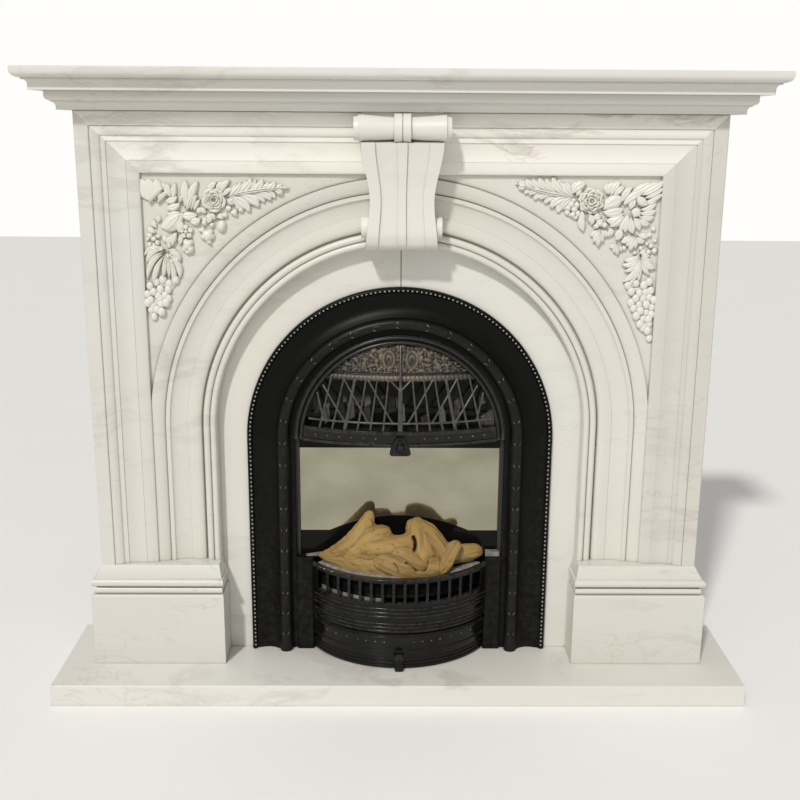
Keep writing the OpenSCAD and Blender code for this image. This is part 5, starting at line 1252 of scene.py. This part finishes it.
def make_fibre():
    """Pale grey fibre board, pitted and dusty, with black painted shade between the heights where only
    its top edge and its foot show."""
    material, tree, at = new_material("grey_fibre")
    z = axes_of(tree, at)["Z"]
    coarse = ramp(tree, noise(tree, at, 70.0, 5.0), 0.35, 0.65)
    # Painted shade: black between the bare heights, where the board is seen through the slots.
    bare = maths(tree, "ADD", ramp(tree, z, *EDGE_BARE), ramp(tree, z, *FOOT_BARE))
    pale = mix_colours(tree, coarse, BOARD_DARK, BOARD_PALE)
    coat(tree, {"Base Color": mix_colours(tree, bare, BOARD_SHADE_BLACK, pale), "Roughness": 0.85,
                "Normal": bumped(tree, noise(tree, at, 420.0, 4.0), 0.0006, 0.7), "Specular IOR Level": 0.08})
    return material


add_piece("bed_kerb", [bed_kerb(), kerb_sill(), *(block(*end) for end in KERB_ENDS)], to_metres,
          make_fibre())


# Front bars: one bowed casting that hangs on two lugs and lifts off. It has a flat rim with a sharp
# front edge, a row of tall slots below it, and six reeds under the slots. Painted highlights lie on
# the crests of the reeds and along the rim's edge.
BOW_HALF, BOW_FLAT, LEDGE_FRONT = 177.0, 171.0, -102.0
SLOT_LOW, SLOT_HIGH = 192.0, 237.0
SLOT_PITCH, SLOT_HALF, SLOTS = 22.4, 8.5, 15
REEDS = (130, 138, 146, 162, 171, 180)
LUG_X, LUG_Y, LUG_Z = (169.2, 176.8), (-118.5, -92.0), (176.3, 183.3)


def bow_radius(z):
    """Radius of the bowed face at a height: r(z) = 208 + 20 (z - 44) / 202."""
    return 208 + 20 * (z - 44) / 202


def bow_section():
    """Closed section of the wall, (radius, height), up the outside and down the inside, with the
    rows where the slots begin."""
    outside = [(0, 126)]
    for reed in REEDS:
        outside += [(2.2 * math.cos(a), reed + 2.4 * math.sin(a)) for a in np.radians(range(-90, 91, 30))]
    outside += [(0, SLOT_LOW), (0, SLOT_HIGH)]
    rim = [(0, 241), (1.8, 241.6), (2.4, 242.4), (2.4, 244.4)]
    rim += [(0.8 + 1.6 * math.cos(a), 244.4 + 1.6 * math.sin(a)) for a in np.radians([30, 60, 90])]
    inside = [(-11, 246), (-12, 245), (-12, 240), (-9, 238.5), (-9, SLOT_HIGH), (-9, SLOT_LOW), (-9, 126)]
    section = np.array(outside + rim + inside)
    section[:, 0] += bow_radius(section[:, 1])
    return section, len(outside) - 2, len(section) - 3


def slotted_front():
    """Bowed wall in upright strips between fixed x, y = min(centre - sqrt(r^2 - x^2), LEDGE_FRONT),
    which cuts it off in front of the ledges. The strips of a slot are left open, and its walls
    are closed."""
    section, outer_row, inner_row = bow_section()
    x, slots = [-BOW_HALF, -BOW_FLAT], []
    for middle in SLOT_PITCH * (np.arange(SLOTS) - SLOTS // 2):
        slots.append(len(x))
        x += [middle - SLOT_HALF, middle, middle + SLOT_HALF]
    x = np.array(x + [BOW_FLAT, BOW_HALF])
    rows, columns = len(section), len(x)
    y = np.minimum(BOW_CENTRE - np.sqrt(section[:, :1] ** 2 - x[None] ** 2), LEDGE_FRONT)
    height = np.broadcast_to(section[:, 1:], y.shape)
    points = np.stack([np.broadcast_to(x[None], y.shape), y, height], -1).reshape(-1, 3)
    index = np.arange(rows * columns).reshape(rows, columns)
    closed = np.ones((rows, columns - 1), bool)
    for slot in slots:
        closed[[outer_row, inner_row], slot:slot + 2] = False
    wall = quads(np.vstack([index, index[:1]]))
    faces = [face for face, kept in zip(wall, closed.ravel()) if kept]
    low, high = index[outer_row], index[outer_row + 1]
    back_high, back_low = index[inner_row], index[inner_row + 1]
    for slot in slots:
        strips = slice(slot, slot + 3)
        faces += quads(np.stack([low[strips], back_low[strips]]))
        faces += quads(np.stack([back_high[strips], high[strips]]))
        faces.append([int(row[slot]) for row in (low, back_low, back_high, high)])
        faces.append([int(row[slot + 2]) for row in (low, high, back_high, back_low)])
    return points, faces + [index[:, 0].tolist(), index[::-1, -1].tolist()]


# Painted highlight: the light crest colour marks the reeds and the rim's edge.
iron_front = make_casting("iron_front", (0.003, 0.003, 0.003), (0.17, 0.165, 0.155), 0.55, (0.16, 0.21),
                          0.0005, 0.24, 0.05, 0.00004)
lugs = [block(*sorted(side * x for x in LUG_X), *LUG_Y, *LUG_Z) for side in (-1, 1)]
add_piece("slotted_front", [slotted_front(), *lugs], to_metres, iron_front,
          body="front_bars", node="front_bars")


# Ash cover: the reeded and bowed cover of the ash pit with its drop knob, one casting that is drawn
# off forwards. A row of small rivets runs below its upper reeds.
RIVET_Z = 104
RIVET_TURNS = (226, 233, 240, 247, 252, 257, 262, 278, 283, 288, 293, 300, 307, 314)


def cover_rivets():
    """Rivets on the bowed face at one height, each a dome turned to face out from the bow."""
    made = []
    for a in np.radians(RIVET_TURNS):
        points, faces = dome((0, 0), (1.5, 1.5), 1.2, around=8, rings=3)
        r = bow_radius(RIVET_Z) + points[:, 2]
        x = r * math.cos(a) - points[:, 0] * math.sin(a)
        y = BOW_CENTRE + r * math.sin(a) + points[:, 0] * math.cos(a)
        made.append((np.stack([x, y, RIVET_Z + points[:, 1]], -1), faces))
    return made


iron_bars = make_casting("iron_bars", (0.003, 0.003, 0.003), (0.05, 0.05, 0.048), 0.3, (0.17, 0.22), 0.0006,
                         0.29, 0.06, 0.00004)
dress(iron_bars, "ash_cover", "ash_knob")
add_piece("cover_rivets", cover_rivets(), to_metres, iron_scuffed_and_glint, body="ash_pit_cover")


# Studio, which isn't part of the object: a plain pale floor, level with the underside of the
# hearth, a low key lamp from the upper left, a broad soft lamp over the shelf and a pale sky.
KEY_ELEVATION, KEY_SIDE = math.radians(43), math.radians(22)
KEY_STRENGTH, SOFT_WATTS = 2.0, 6.0
SKY_STRENGTH, BACKDROP_STRENGTH = 0.43, 1.0
FLOOR_REACH = 9.0
FLOOR_TONES = (0.86, 0.855, 0.84), (0.90, 0.895, 0.88)


def add_lamp(name, kind, energy, at, to_light):
    """Lamp at a place whose light comes from the direction to_light."""
    lamp = link_up(name, bpy.data.lights.new(name, kind))
    lamp.data.energy = energy
    lamp.location = at
    lamp.rotation_euler = to_light.to_track_quat("Z", "Y").to_euler()
    return lamp.data


def add_sky():
    """Even pale sky that fills the shadows, and shows as a brighter backdrop to the camera."""
    world = bpy.data.worlds.new("studio")
    bpy.context.scene.world = world
    world.use_nodes = True
    tree = world.node_tree
    seen = tree.nodes.new("ShaderNodeLightPath").outputs["Is Camera Ray"]
    sky = tree.nodes["Background"].inputs
    put(tree, sky["Color"], (1.0, 0.99, 0.97, 1.0))
    put(tree, sky["Strength"], ramp(tree, seen, 0, 1, SKY_STRENGTH, BACKDROP_STRENGTH))


def add_floor():
    """Flat pale floor that runs well past the camera's view."""
    material, tree, at = new_material("floor")
    coat(tree, {"Base Color": mix_colours(tree, noise(tree, at, 3.0, 6.0), *FLOOR_TONES), "Roughness": 0.8})
    mesh = bpy.data.meshes.new("floor")
    corners = [(FLOOR_REACH * x, FLOOR_REACH * y, 0) for x, y in ((-1, -1), (1, -1), (1, 1), (-1, 1))]
    mesh.from_pydata(corners, [], [(0, 1, 2, 3)])
    mesh.materials.append(material)
    link_up("floor", mesh)


bpy.context.scene.view_settings.view_transform = "Standard"
low, soft_at = math.cos(KEY_ELEVATION), Vector((-0.4, -1.9, 2.1))
key = add_lamp("key", "SUN", KEY_STRENGTH, (0, 0, 0),
               Vector((-math.sin(KEY_SIDE) * low, -math.cos(KEY_SIDE) * low, math.sin(KEY_ELEVATION))))
key.angle, key.color = math.radians(4), (1.0, 0.98, 0.94)
soft = add_lamp("soft", "AREA", SOFT_WATTS, soft_at, soft_at - Vector((0, -0.1, 0.95)))
soft.shape, soft.size, soft.size_y = "RECTANGLE", 2.2, 0.8
add_sky()
add_floor()
